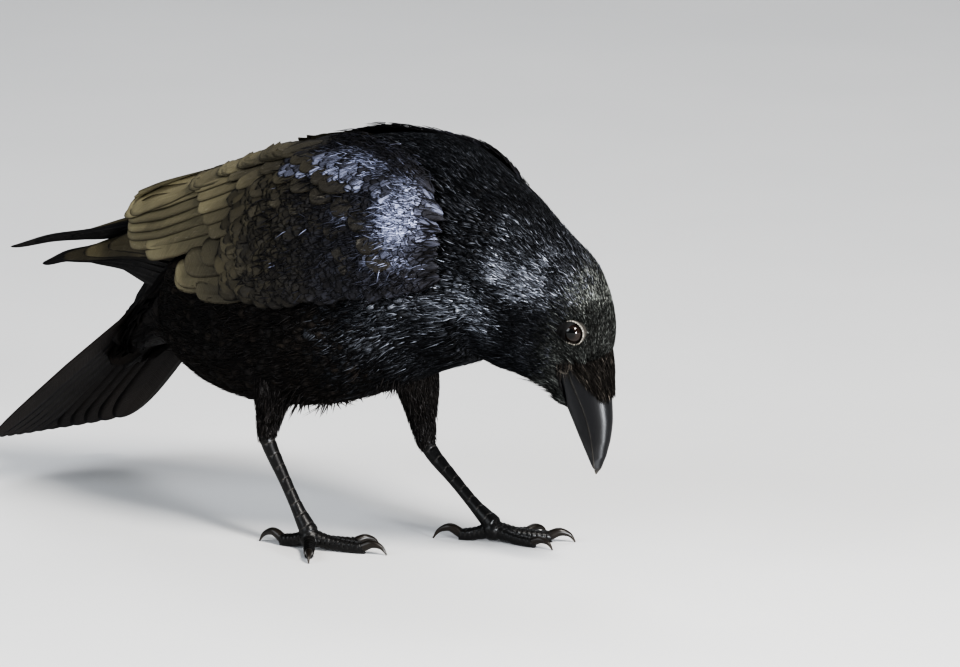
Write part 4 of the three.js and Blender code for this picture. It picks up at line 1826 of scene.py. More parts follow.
    def comb(self, plumes: Plumes, rng: np.random.Generator, tufts: Tufts) -> None:
        """Adds the fine strands of every tuft, fanned over its width.

        Args:
            plumes: What the feathers are added to.
            rng: Gives the random numbers.
            tufts: The tufts.
        """
        each, count = self.strands, len(tufts.down)
        many = count * each
        carried = (tufts.down, tufts.angle, tufts.length, tufts.half, tufts.depth, tufts.veer, tufts.stand,
                   tufts.tone, tufts.gloss)
        down, angle, length, half, depth, veer, stand, tone, gloss = (np.repeat(v, each) for v in carried)
        fan = np.tile(np.linspace(-1, 1, each), count) + rng.normal(0, 0.25, many)
        with_down, with_across = (np.linalg.norm(v, axis=-1) for v in TRUNK.slopes(tufts.down, tufts.angle))
        start = rng.uniform(0.0, 0.45, many) if self.leaf else rng.uniform(-0.1, 0.25, many)
        root_down = down - start * length / np.repeat(np.maximum(with_down, 1), each)
        root_across = angle + fan * half / np.repeat(np.maximum(with_across, 1), each) * 0.8
        reach = length * rng.uniform(0.55, 1.0, many) * (0.75 if self.leaf else 1)
        turn = veer + fan * 0.16 + rng.normal(0, 0.08, many)
        base = -depth * (0.35 if self.leaf else 0.8)
        tip = stand * rng.uniform(0.3, 1.6, many) + 0.1
        share = steps(2, 1.3)
        lie = TRUNK.run((root_down, root_across), reach, turn, (base, tip), share)
        wide = np.interp(down * TRUNK.last, *np.array(self.strand_half).T) * rng.uniform(0.7, 1.3, many)
        shine = np.clip(gloss * rng.random(many) ** 1.8 * 2.6, 0, 1)
        own = (tone + rng.random(many) * 0.37) % 1
        plumes.add(lie, wide, HAIR, own, np.repeat(tufts.patch, each, axis=0), Outline.STRAND.half(share),
                   gloss=shine, wear=own)


@dataclass(frozen=True)
class Tufts:
    """The roots of a coat's tufts and what each is like."""

    down: Array
    angle: Array
    length: Array
    half: Array
    depth: Array
    veer: Array
    stand: Array
    tone: Array
    gloss: Array
    patch: Array


COATS = (
    Coat("head_coat", HEAD_GLOSS, 5600, (10.8, 15.95), (0, 180), 11, strands=5, stray=0.13, proud=0.3,
         gloss=(0.03, 1.5), fade=0.9),
    Coat("neck_coat", BODY_GLOSS, 3900, (8.4, 12.0), (0, 180), 12, strands=6, stray=0.15, proud=0.6),
    Coat("nape_coat", BODY_GLOSS, 1500, (5.8, 9.4), (0, 78), 13, strands=6, leaf=True,
         outline=Outline.LANCE, stray=0.1, proud=0.1),
    Coat("breast_coat", BODY_GLOSS, 2450, (5.0, 9.4), (70, 180), 14, strands=7, leaf=True,
         outline=Outline.LANCE, stray=0.18, proud=0.8),
    Coat("mantle_coat", BODY_GLOSS, 950, (2.4, 6.8), (0, 62), 15, strands=5, leaf=True, proud=0.2),
    Coat("belly_coat", BELLY_MATT, 2100, (0.1, 6.3), (84, 180), 16, strands=6, leaf=True,
         outline=Outline.LANCE, stray=0.22, proud=0.9),
    Coat("rump_coat", BELLY_MATT, 420, (0.2, 2.9), (0, 90), 17, strands=3, leaf=True, proud=0.2),
    Coat("throat_hackles", HEAD_GLOSS, 420, (11.6, 15.2), (152, 180), 18, strands=4, stray=0.2, proud=2.2,
         fade=0.3, longer=1.5),
    Coat("vent_fluff", BELLY_MATT, 90, (0.9, 1.75), (118, 180), 19, strands=7, stray=0.5, proud=7.0,
         fade=0.1, longer=0.75),
    Coat("belly_fluff", BELLY_MATT, 60, (3.75, 4.35), (140, 180), 20, strands=8, stray=0.7, proud=7.0,
         fade=0.1, longer=0.6),
    Coat("flank_fluff", BELLY_MATT, 60, (5.1, 5.6), (140, 180), 21, strands=8, stray=0.7, proud=6.0,
         fade=0.1, longer=0.42),
)


@dataclass(frozen=True)
class Skin:
    """The one skin under the coat, from the bill's root to the toes.

    It is sunk below the coat by the coat's depth, bare on the legs, and rises round the eyes.
    """

    name: str = "skin"
    body_voxel: float = 2.2
    head_voxel: float = 0.9
    leg_voxel: float = 0.5
    head_start: float = 11.2  # station where the finer head begins
    thigh_sink: float = 3.2
    scute_step: float = 0.42
    ball: float = 5.4  # radius of the ball of the foot
    tuck: float = 5.0  # how much deeper it lies under the horn at the bill's root
    leg_top: float = 60  # no point higher than this is on a shank or toe
    leg_reach: float = 3.0  # how far from a shank's or toe's face a point still belongs to it
    leg_radius: float = 3.4  # about how thick a shank or toe is
    sole: float = 0.4  # no scale stands out below this height

    def merged(self, name: str, shells: list[Shell], voxel: float, relax: int) -> Piece:
        """Melts closed shells into one smooth skin.

        Args:
            name: A name for the working object.
            shells: Closed shells that overlap.
            voxel: The size of the new mesh's cells.
            relax: How many times the result is smoothed.

        Returns:
            The melted object.
        """
        piece = joined(shells).build(name)
        remesh = piece.modifiers.new("melt", "REMESH")
        remesh.mode = "VOXEL"
        remesh.voxel_size = voxel * MM
        if relax:
            ease = piece.modifiers.new("ease", "SMOOTH")
            ease.iterations = relax
            ease.factor = 0.5
        return self.applied(piece)

    @staticmethod
    def applied(piece: Piece) -> Piece:
        """Bakes an object's modifiers into its mesh.

        Args:
            piece: The object.

        Returns:
            The same object.
        """
        evaluated = piece.evaluated_get(bpy.context.evaluated_depsgraph_get())
        mesh = bpy.data.meshes.new_from_object(evaluated)
        piece.modifiers.clear()
        old, piece.data = piece.data, mesh
        bpy.data.meshes.remove(old)
        return piece

    def combined(self, whole: Piece, other: Piece, how: str) -> Piece:
        """Adds another closed piece to the whole, or cuts it away, and removes it.

        Args:
            whole: The piece that is kept.
            other: The piece that is used up.
            how: The boolean operation.

        Returns:
            The whole.
        """
        cut = whole.modifiers.new("combine", "BOOLEAN")
        cut.operation = how
        cut.object = other
        cut.solver = "EXACT"
        self.applied(whole)
        mesh = other.data
        bpy.data.objects.remove(other)
        bpy.data.meshes.remove(mesh)
        return whole

    def body_shells(self) -> list[Shell]:
        """The trunk and neck, the thighs and the tail's root, sunk by the coat's depth.

        Returns:
            The shells.
        """
        *where, sunk = self.under_coat(0.005, (self.head_start + 0.6) / TRUNK.last, 60, 56)
        thighs = [loft_of(thigh_of(leg), 24, 24, self.thigh_sink) for leg in LEGS]
        return [loft(TRUNK.point(*where, sunk), flip=True), *thighs, self.tail_root()]

    @staticmethod
    def under_coat(low: float, high: float, rings: int, sides: int) -> tuple[Array, Array, Array]:
        """Spreads rings of places over part of the body, and reads the coat's depth there.

        Args:
            low: Share along the body at the first ring.
            high: Share along it at the last.
            rings: How many rings.
            sides: How many points go round a ring.

        Returns:
            The shares, the angles and the depths.
        """
        down, angle = ring_grid(low, high, rings, sides)
        sizes = np.array(Coat.sizes, float)
        return down, angle, np.interp(down * TRUNK.last, sizes[:, 0], sizes[:, 3])

    @staticmethod
    def tail_root() -> Shell:
        """The fleshy root that carries the tail.

        Returns:
            The shell.
        """
        along, angle = ring_grid(-12, 34, 14, 24)
        taper = np.sqrt(np.clip((40 - along) / 52, 0, 1))
        wide, tall, drop = 17, 9, 4
        return loft(TAIL.place(along, np.sin(angle) * wide * taper, np.cos(angle) * tall * taper - drop))

    def head_shell(self) -> Shell:
        """The head, in finer rings.

        Returns:
            The shell.
        """
        *where, sunk = self.under_coat(self.head_start / TRUNK.last, 1, 90, 96)
        rel = TRUNK.point(*where) - MID_EYE
        past = rel @ HEAD.bill_way - np.interp(rel @ HEAD.crown_way, *BILL.feather_edge)
        sunk = sunk + self.tuck * smooth((past + 1.5) / 4)
        return loft(TRUNK.point(*where, sunk), flip=True)

    def leg_shells(self, leg: Leg) -> list[Shell]:
        """One shank and its toes, with the ball of the foot.

        Args:
            leg: The leg.

        Returns:
            The shells.
        """
        down, angle = ring_grid(0.06, math.pi - 0.06, 16, 24)
        ball = np.stack([np.sin(down) * np.cos(angle), np.sin(down) * np.sin(angle), np.cos(down)], axis=-1)
        ball = np.array([*leg.foot, leg.ball_height - 1.2]) + self.ball * ball
        ball[..., 2] = np.maximum(ball[..., 2], 0)
        toes = [loft_of(toe_of(leg, toe), 40, 24) for toe in TOES]
        return [loft(ball, flip=True), loft_of(tarsus_of(leg), 60, 28), *toes]

    def build(self) -> Piece:
        """Melts the parts into one skin, works its scales and lids, and dresses it.

        Returns:
            The piece.
        """
        skin = self.merged(self.name, self.body_shells(), self.body_voxel, 3)
        head = self.merged("head_work", [self.head_shell()], self.head_voxel, 1)
        skin = self.combined(skin, head, "UNION")
        for leg in LEGS:
            foot = self.merged("leg_work", self.leg_shells(leg), self.leg_voxel, 2)
            skin = self.combined(skin, foot, "UNION")
        for side in Side:
            ball = ball_shell(side, EYES.radius + 0.1, 24, 32).build("ball_work")
            skin = self.combined(skin, ball, "DIFFERENCE")
        self.dress(skin)
        return skin

    def dress(self, skin: Piece) -> None:
        """Raises the scutes and gives every point what the finishes read.

        Args:
            skin: The melted skin.
        """
        mesh = skin.data
        count = len(mesh.vertices)
        points = np.empty(count * 3, np.float32)
        mesh.vertices.foreach_get("co", points)
        points = points.reshape(-1, 3) / MM - OFFSET
        normals = np.empty(count * 3, np.float32)
        mesh.vertices.foreach_get("normal", normals)
        normals = normals.reshape(-1, 3)
        vane = np.zeros((count, 3))
        span = points.copy()
        chart = self.body_chart(points)
        kind = np.zeros(count, int)
        limbs = [(leg, limb, joints) for leg in LEGS for limb, joints in
                 [(tarsus_of(leg), 0)] + [(toe_of(leg, toe), toe.joints) for toe in TOES]]
        best = np.full(count, FAR)
        lift = np.zeros(count)
        low = points[:, 2] < self.leg_top
        for index, (_, limb, joints) in enumerate(limbs):
            down, angle, gap = self.nearest(limb, points, low)
            scute, crease = self.scutes(limb, down, angle, joints)
            closer = low & (gap < best) & (gap < self.leg_reach)
            best = np.where(closer, gap, best)
            kind[closer] = 1
            lift[closer] = scute[closer]
            vane[closer] = np.stack([angle / math.pi, down, crease], axis=1)[closer]
            span[closer] = np.stack([angle * self.leg_radius, down * limb.length, 0 * down], axis=1)[closer]
            chart[closer] = CHART.limb(index, down, angle)[closer]
        points = points + normals * (lift * (points[:, 2] > self.sole))[:, None]
        points[:, 2] = np.where(low, np.maximum(points[:, 2], 0), points[:, 2])
        mesh.vertices.foreach_set("co", metres(points).astype(np.float32).ravel())
        carry(mesh, {"vane": vane, "span": span})
        corners = np.empty(len(mesh.loops), np.int32)
        mesh.loops.foreach_get("vertex_index", corners)
        chart = chart[corners].astype(np.float32).ravel()
        mesh.uv_layers.new(name=BAKE_MAP).uv.foreach_set("vector", chart)
        starts = np.empty(len(mesh.polygons), np.int32)
        mesh.polygons.foreach_get("loop_start", starts)
        mesh.materials.clear()
        for finish in (BODY_SKIN, LEG_SKIN):
            mesh.materials.append(finish.material)
        mesh.polygons.foreach_set("material_index", kind[corners[starts]].astype(np.int32))
        mesh.shade_smooth()
        mesh.update()

    @staticmethod
    def body_chart(points: Array) -> Array:
        """The place of skin points on the unwrap, by the nearest middle of a section.

        Args:
            points: Points in millimetres.

        Returns:
            Their places on the map.
        """
        shares = np.linspace(0, 1, 200)
        rows = read_rows(TRUNK.rows, shares)
        middle = (rows[:, :3] + rows[:, 3:6]) / 2
        nearest = closest(points, middle)
        rel = points - middle[nearest]
        half = unit(rows[nearest, :3] - rows[nearest, 3:6])
        turn = rows[nearest, 7]
        side = np.stack([-np.sin(turn), np.cos(turn), 0 * turn], axis=1)
        return CHART.body(shares[nearest], np.arctan2((rel * side).sum(axis=1), (rel * half).sum(axis=1)))

    @staticmethod
    def nearest(limb: Limb, points: Array, low: Array) -> tuple[Array, Array, Array]:
        """Finds the share along a limb, the angle round it and the gap to its face.

        Args:
            limb: The limb.
            points: Points in millimetres.
            low: Which points to look at.

        Returns:
            The shares, the angles and the gaps.
        """
        down, angle, gap = np.zeros(len(points)), np.zeros(len(points)), np.full(len(points), FAR)
        some = np.where(low)[0]
        share = closest(points[some], limb.line) / (len(limb.line) - 1)
        middle, up, side, radius = limb.axes(share)
        rel = points[some] - middle
        down[some] = share
        angle[some] = np.arctan2((rel * side).sum(axis=1), (rel * up).sum(axis=1))
        gap[some] = np.abs(np.linalg.norm(rel, axis=1) - radius)
        return down, angle, gap

    def scutes(self, limb: Limb, down: Array, angle: Array, joints: int) -> tuple[Array, Array]:
        """How far the scales stand out, and where the creases between them run.

        Args:
            limb: The shank or toe.
            down: Share along it.
            angle: Angle from its front or upper side.
            joints: The toe's joints, or 0 for the shank.

        Returns:
            The height of the scales and the depth of the creases, from 0 to 1.
        """
        front = smooth((1.9 - np.abs(angle)) / 0.5)
        pitch = 2.5 if joints else 6.6
        wave = down * limb.length / pitch + 0.07 * np.cos(angle * 2)
        part = wave % 1
        plate = smooth(part / 0.16) * (1 - 0.45 * part)
        width, depth = (0.1, 0.45) if joints else (0.055, 1)
        crease = smooth(1 - np.minimum(part, 1 - part) / width) * depth
        height = self.scute_step * (plate - 0.5) * front * (2.2 if joints else 1)
        if joints:
            pads = np.abs(np.sin(down * math.pi * joints)) * smooth((np.abs(angle) - 1.7) / 0.6)
            height = height + 0.35 * (pads - 0.5) * (np.abs(angle) > 1.2)
            height = height * smooth((0.97 - down) / 0.08) - 0.5 * smooth((down - 0.88) / 0.12)
        return height, crease * front


def ball_shell(side: Side, radius: float, rings: int, sides: int) -> Shell:
    """A ball in the place of one eye, with rings round the way it looks.

    Args:
        side: The eye's side.
        radius: The ball's radius.
        rings: How many rings.
        sides: How many points go round a ring.

    Returns:
        The shell.
    """
    polar, turn = ring_grid(0.02, math.pi - 0.02, rings, sides)
    facing = np.cos(turn)[..., None] * HEAD.bill_way + np.sin(turn)[..., None] * HEAD.crown_way
    around = np.sin(polar)[..., None] * facing
    place = EYES.centre(side) + radius * (around + np.cos(polar)[..., None] * EYES.axis(side))
    return loft(place, flip=side is Side.RIGHT)


@dataclass(frozen=True)
class EyeBall:
    """One eye: a ball with the clear bulge of the cornea."""

    side: Side
    bulge: float = 0.55
    bulge_reach: float = 0.62
    rings: int = 64
    sides: int = 72

    def build(self, finish: EyeFinish) -> Piece:
        """Makes the ball and marks its pupil and iris.

        Args:
            finish: The eye's finish.

        Returns:
            The piece.
        """
        shell = ball_shell(self.side, EYES.radius, self.rings, self.sides)
        rel = shell.points - EYES.centre(self.side)
        far = np.linalg.norm(rel, axis=1)
        polar = np.arccos(np.clip(rel @ EYES.axis(self.side) / np.maximum(far, 1e-6), -1, 1))
        grow = 1 + self.bulge / EYES.radius * np.exp(-((polar / self.bulge_reach) ** 4))
        shell.points = EYES.centre(self.side) + rel * grow[:, None]
        turn = np.arctan2(rel @ HEAD.crown_way, rel @ HEAD.bill_way)
        shell.vane = np.stack([turn, polar, 0 * polar], axis=1)
        shell.patch = np.stack([0.5 + 0.15 * polar * np.cos(turn), 0.5 + 0.15 * polar * np.sin(turn)],
                               axis=1)
        return shell.build(f"eyeball_{self.side.word}", finish.material)


@dataclass(frozen=True)
class Folds:
    """The bare folds of one side of the face: the beaded eyelids and the corner of the mouth."""

    side: Side
    beads: int = 26
    rings: int = 208
    # Offset outwards from the lids' opening, and height over the middle of the eye.
    profile: tuple = (
        (-0.12, 3.95), (0.03, 4.55), (0.25, 4.95), (0.52, 4.95), (0.76, 4.55), (1.0, 4.0), (1.5, 3.2),
        (2.2, 2.0), (3.0, 0.4), (2.6, -0.4), (1.7, 1.2), (0.9, 2.8), (0.15, 3.5),
    )
    bead_floor: float = 3.85
    lift: float = 0.45  # how far the opening lies above the middle of the eye
    tilt: float = 0.15  # how far its rear edge stands out

    def lids(self) -> Shell:
        """The ring of both eyelids, beaded along its edge.

        Returns:
            The shell.
        """
        profile = np.array(self.profile)
        turn = np.arange(self.rings) * 2 * math.pi / self.rings
        bead = 0.55 + 0.45 * np.abs(np.cos(turn * self.beads / 2)) ** 0.6
        offset = np.broadcast_to(profile[:, 0], (self.rings, len(profile)))
        tall = np.maximum(profile[:, 1] - self.bead_floor, 0)
        height = np.minimum(profile[:, 1], self.bead_floor) + tall * bead[:, None]
        corner = 0.35 * np.abs(np.cos(turn)) ** 6  # the opening is drawn out a little at its corners
        along = (EYES.open_along + corner[:, None] + offset) * np.cos(turn)[:, None]
        above = (EYES.open_above + offset) * np.sin(turn)[:, None] + self.lift
        height = height + 0.25 - self.tilt * along
        place = HEAD.point(along, above, self.side.value * (EYES.lateral + height))
        count = len(profile)
        ring, k = (v.ravel() for v in np.meshgrid(np.arange(self.rings), np.arange(count), indexing="ij"))
        nxt, after = (ring + 1) % self.rings, (k + 1) % count
        here, there = ring * count, nxt * count
        quads = np.stack([here + k, there + k, there + after, here + after], axis=1)
        shell = Shell(place.reshape(-1, 3), [quads if self.side is Side.LEFT else quads[:, ::-1]])
        pale = np.exp(-(((offset - 0.42) / 0.40) ** 2)) * (bead[:, None] - 0.1) * (profile[:, 1] > 4.0)
        turns = np.broadcast_to(turn[:, None], offset.shape)
        shell.vane = np.stack([offset / 4, turns / 7, pale], axis=-1).reshape(-1, 3)
        shell.span = np.stack([offset, turns * 5, 0 * offset], axis=-1).reshape(-1, 3)
        shell.patch = np.stack([0.05 + turns / 14, 0.1 + (offset + 1) / 12], axis=-1).reshape(-1, 2)
        return shell

    def gape(self) -> Shell:
        """The pale fleshy fold at the corner of the mouth.

        Returns:
            The shell.
        """
        rings, sides = 40, 14
        share = np.linspace(0, 1, rings)
        bend = math.pi * (0.05 + 1.15 * share)
        along = 16.6 + 2.6 * np.cos(bend) - 0.6 * share
        above = -12.2 - 2.9 * np.sin(bend) - 3.4 * (share - 0.5)
        lateral = 9.8 - 0.5 * share
        radius = 0.62 * np.sqrt(np.clip(1 - (2 * share - 1) ** 6, 0.04, 1))
        middle = HEAD.point(along, above, self.side.value * lateral)
        ahead = unit(np.gradient(middle, axis=0))
        up = unit(np.cross(ahead, np.broadcast_to(EYES.axis(self.side), ahead.shape)))
        out = np.cross(up, ahead)
        angle = np.arange(sides) * 2 * math.pi / sides
        ring = up[:, None] * np.cos(angle)[None, :, None] + out[:, None] * np.sin(angle)[None, :, None]
        shell = loft(middle[:, None] + ring * radius[:, None, None], flip=True)
        count = len(shell.points)
        shell.vane = np.tile([0.0, 0.5, 0.22], (count, 1))
        shell.span = shell.points - MID_EYE
        shell.patch = np.full((count, 2), 0.9)
        return shell

    def build(self) -> Piece:
        """Makes the folds as one piece."""
        return joined([self.lids(), self.gape()]).build(f"bare_folds_{self.side.word}", LID_SKIN.material)


@dataclass(frozen=True)
class Bill:
    """The horny bill: two arched halves that meet along a curved line."""

    # Along the bill, height of the ridge, of the closing line, of the under edge, half width.
    sections: tuple = (
        (15, 8.8, -11.0, -20.0, 9.4), (24, 7.4, -10.6, -20.1, 9.4), (33, 4.9, -10.2, -19.7, 8.4),
        (41, 2.6, -10.2, -19.2, 7.2), (50, -0.3, -11.2, -18.8, 5.8), (58, -4.3, -12.9, -18.3, 4.5),
        (65, -9.0, -15.0, -17.8, 3.0), (70, -13.3, -16.4, -17.5, 1.6), (72.2, -16.3, -17.2, -17.3, 0.6),
    )
    # Height and how far along the bill the face's feathers reach there.
    feather_edge: tuple = ((-21, -18.8, -17.8, -15, -12, -8, 0, 6),
                           (38, 35, 23, 15.0, 12.5, 14.5, 17.0, 17.5))
    root: float = 11
    tip: float = 72.2
    lower_tip: float = 69.6
    gap: float = 0.12
    overhang: float = 0.35

    def half(self, upper: bool) -> Shell:
        """One half of the bill, with a rounded cutting edge.

        Args:
            upper: Whether it is the upper one.

        Returns:
            The shell.
        """
        rings, sides = 90, 56
        end = self.tip if upper else self.lower_tip
        share, angle = ring_grid(0, 1, rings, sides)
        share = share**0.9
        angle = angle + 0.4 * np.sin(2 * angle)  # closer together along the cutting edges
        along = self.root + (end - self.root) * share
        row = read_table(np.array(self.sections, float), along)
        ridge, seam, under, width = (row[..., k] for k in range(4))
        blunt = np.sqrt(1 - np.clip((share - 0.965) / 0.035, 0, 1) ** 2 * 0.98)
        middle = (ridge + seam) / 2 if upper else (under + seam) / 2
        ridge, seam, under = (middle + (v - middle) * blunt for v in (ridge, seam, under))
        width = width * blunt
        shrink = 1 if upper else 0.93
        arch = np.maximum(np.cos(angle), 0) ** (0.82 if upper else 0.7)
        hollow = 0.6 * np.minimum(np.cos(angle), 0)
        edge = seam + (self.gap / 2 - self.overhang if upper else -self.gap / 2)
        rise = (ridge - edge if upper else under - edge) * arch
        dip = hollow * (-1 if upper else 1) * np.clip(width / 9, 0, 1)
        side = np.sin(angle) * width * shrink
        place = HEAD.point(along, edge + rise + dip, side)
        shell = loft(place, flip=upper)
        lip = np.exp(-((rise / 0.3) ** 2)) * (np.cos(angle) > -0.12)
        mark = np.clip(lip * 0.4 + smooth((share - 0.94) / 0.06) * 0.2, 0, 1)
        shell.vane = with_ends(angle / math.pi, share, mark)
        shell.span = with_ends(np.sin(angle) * 12 + rise, along, 0 * along)
        turn = 0.05 + 0.4 * angle / (2 * math.pi) + (0 if upper else 0.5)
        chart = np.stack([turn, 0.05 + 0.9 * share], axis=-1)
        shell.patch = np.concatenate([chart.reshape(-1, 2), chart[[0, -1], 0]])
        return shell

    def holds(self, points: Array) -> Array:
        """Tells which points lie where the horn or the bristles over it show.

        Args:
            points: Points in millimetres.

        Returns:
            Whether each point does.
        """
        rel = points - MID_EYE
        along, above, left = (rel @ way for way in (HEAD.bill_way, HEAD.crown_way, HEAD.left))
        width = read_table(np.array(self.sections, float), along)[:, 3]
        line = np.interp(above, self.feather_edge[0], self.feather_edge[1])
        return (along > line) & (np.abs(left) < width + 5.0)

    def build(self) -> list[Piece]:
        """Makes the two halves."""
        names = (("bill_upper_horn", True), ("bill_lower_horn", False))
        return [self.half(upper).build(name, BILL_HORN.material) for name, upper in names]

    def face(self, along: Array, angle: Array, cover: Array) -> Array:
        """A point over the root of the upper half, where the bristles lie.

        Args:
            along: Millimetres along the bill.
            angle: Angles round it.
            cover: How far above the horn.

        Returns:
            The points.
        """
        row = read_table(np.array(self.sections, float), along)
        ridge, seam, width = row[..., 0], row[..., 1], row[..., 3]
        share = np.clip((along - 15) / 26.5, 0, 1)
        low = (seam - 0.9) * (1 - share) + (ridge - 7.6) * share
        arch = np.maximum(np.cos(angle), 0) ** 0.8
        side = np.sin(angle) * (width * np.sqrt(1 - 0.5 * share) + cover)
        return HEAD.point(along, low + (ridge + cover - low) * arch, side)


BILL = Bill()


@dataclass(frozen=True)
class BristleForm(Surface):
    """The root of the bill that the nasal bristles cover, by millimetres along and angle."""

    fine: tuple = (0.3, 0.02)

    def point(self, down: Array, across: Array) -> Array:
        """A point just above the horn.

        Args:
            down: Millimetres along the bill.
            across: Angles round it.

        Returns:
            The points.
        """
        down, across = np.broadcast_arrays(np.asarray(down, float), across)
        cover = np.interp(down, (4, 12, 20, 40.5), (2.8, 2.4, 1.5, 0.5))
        return BILL.face(down, across, cover)


@dataclass(frozen=True)
class Bristles:
    """The stiff bristles over the nostrils and the fine ones at the gape."""

    count: int = 3400
    seed: int = 31
    length: tuple[float, float] = (14, 8)
    half: float = 0.17
    first: float = 4.0
    last: float = 33
    arc: float = 1.52  # how far round from the ridge they grow

    def build(self) -> Piece:
        """Lays the bristles forward over the bill.

        Returns:
            The piece.
        """
        rng = np.random.default_rng(self.seed)
        pick = scattered(self.count, self.seed)
        along = self.first + (self.last - self.first) * pick[:, 0]
        angle = (pick[:, 1] * 2 - 1) * self.arc
        length = np.interp(along, (self.first, self.last), self.length)
        length = length * rng.uniform(0.65, 1.15, self.count)
        turn = np.abs(angle)
        bend = 1.1  # the angle at which they reach farthest down the bill
        end = np.where(turn < bend, 37 + 4.5 * turn / bend, 41.5 - 11 * (turn - bend) / 0.42)
        length = np.minimum(length, end + rng.normal(0, 0.8, self.count) - along)
        keep = length > 2.5
        along, angle, length = along[keep], angle[keep], length[keep]
        count = len(along)
        share = steps(4, 1.2)
        veer = rng.normal(0, 0.13, count) - 0.06 * np.clip(angle, -1, 1)
        rise = (np.full(count, -0.7), rng.random(count) ** 2 * 1.3)
        lie = BristleForm().run((along, angle), length, veer, rise, share, way=1)
        plumes = Plumes()
        tone = rng.random(count)
        patch = CHART.body(np.clip(0.94 + along / 800, 0, 1), angle)
        half = self.half * rng.uniform(0.7, 1.3, count)
        plumes.add(lie, half, HAIR, tone, patch, Outline.STRAND.half(share),
                   gloss=0.8 * rng.random(count) ** 6, wear=tone)
        for side in Side:
            self.rictal(plumes, side)
        return plumes.shell().build("nasal_bristle_coat", BRISTLE_BROWN.material)

    def rictal(self, plumes: Plumes, side: Side) -> None:
        """Adds the fine curved bristles between the eye and the gape.

        Args:
            plumes: What the feathers are added to.
            side: The side of the bird.
        """
        rng = np.random.default_rng(self.seed + 1)
        count = 40
        share = steps(6, 1.2)
        along = rng.uniform(5.5, 15.5, count)
        above = rng.uniform(-12.5, -5.5, count)
        reach = rng.uniform(5, 10, count)
        drop = rng.uniform(-0.5, 0.15, count)
        far = share[None, :]
        run = HEAD.point(
            along[:, None] + reach[:, None] * far * np.cos(drop)[:, None],
            above[:, None] + reach[:, None] * (far * np.sin(drop)[:, None] - 0.12 * far**2),
            side.value * (np.interp(along, (5, 15), (13.4, 10.4))[:, None] + 1.2 + 0.9 * far * (1.2 - far)),
        )
        out = np.broadcast_to(EYES.axis(side), run.shape)
        ahead = unit(np.gradient(run, axis=1))
        aside = unit(np.cross(out, ahead))
        lie = Lie(run, np.cross(ahead, aside), aside, share, reach)
        patch = np.tile(CHART.body(np.array([0.93]), np.array([1.4])), (count, 1))
        plumes.add(lie, np.full(count, 0.085), HAIR, rng.random(count), patch, Outline.STRAND.half(share),
                   gloss=0.3 + 0.6 * rng.random(count), wear=0.0)


@dataclass(frozen=True)
class Row:
    """A row of wing feathers that shingle over one another.

    Each key is a tip (x, share down), the middle of the feather's run (x, share down), its root
    (x, share down) and half width in millimetres, from the first feather to the last.
    """

    name: str
    count: int
    keys: tuple
    outline: Outline = Outline.BROAD
    sink: tuple[float, float] = (4.5, 0.5)  # depth below the wing's face at the root and the tip
    tilt: float = 0.045
    jitter: float = 0.010
    inside: float = 0.06  # how far inside the wing's upper edge the row stays, as a share down
    steps: int = 16


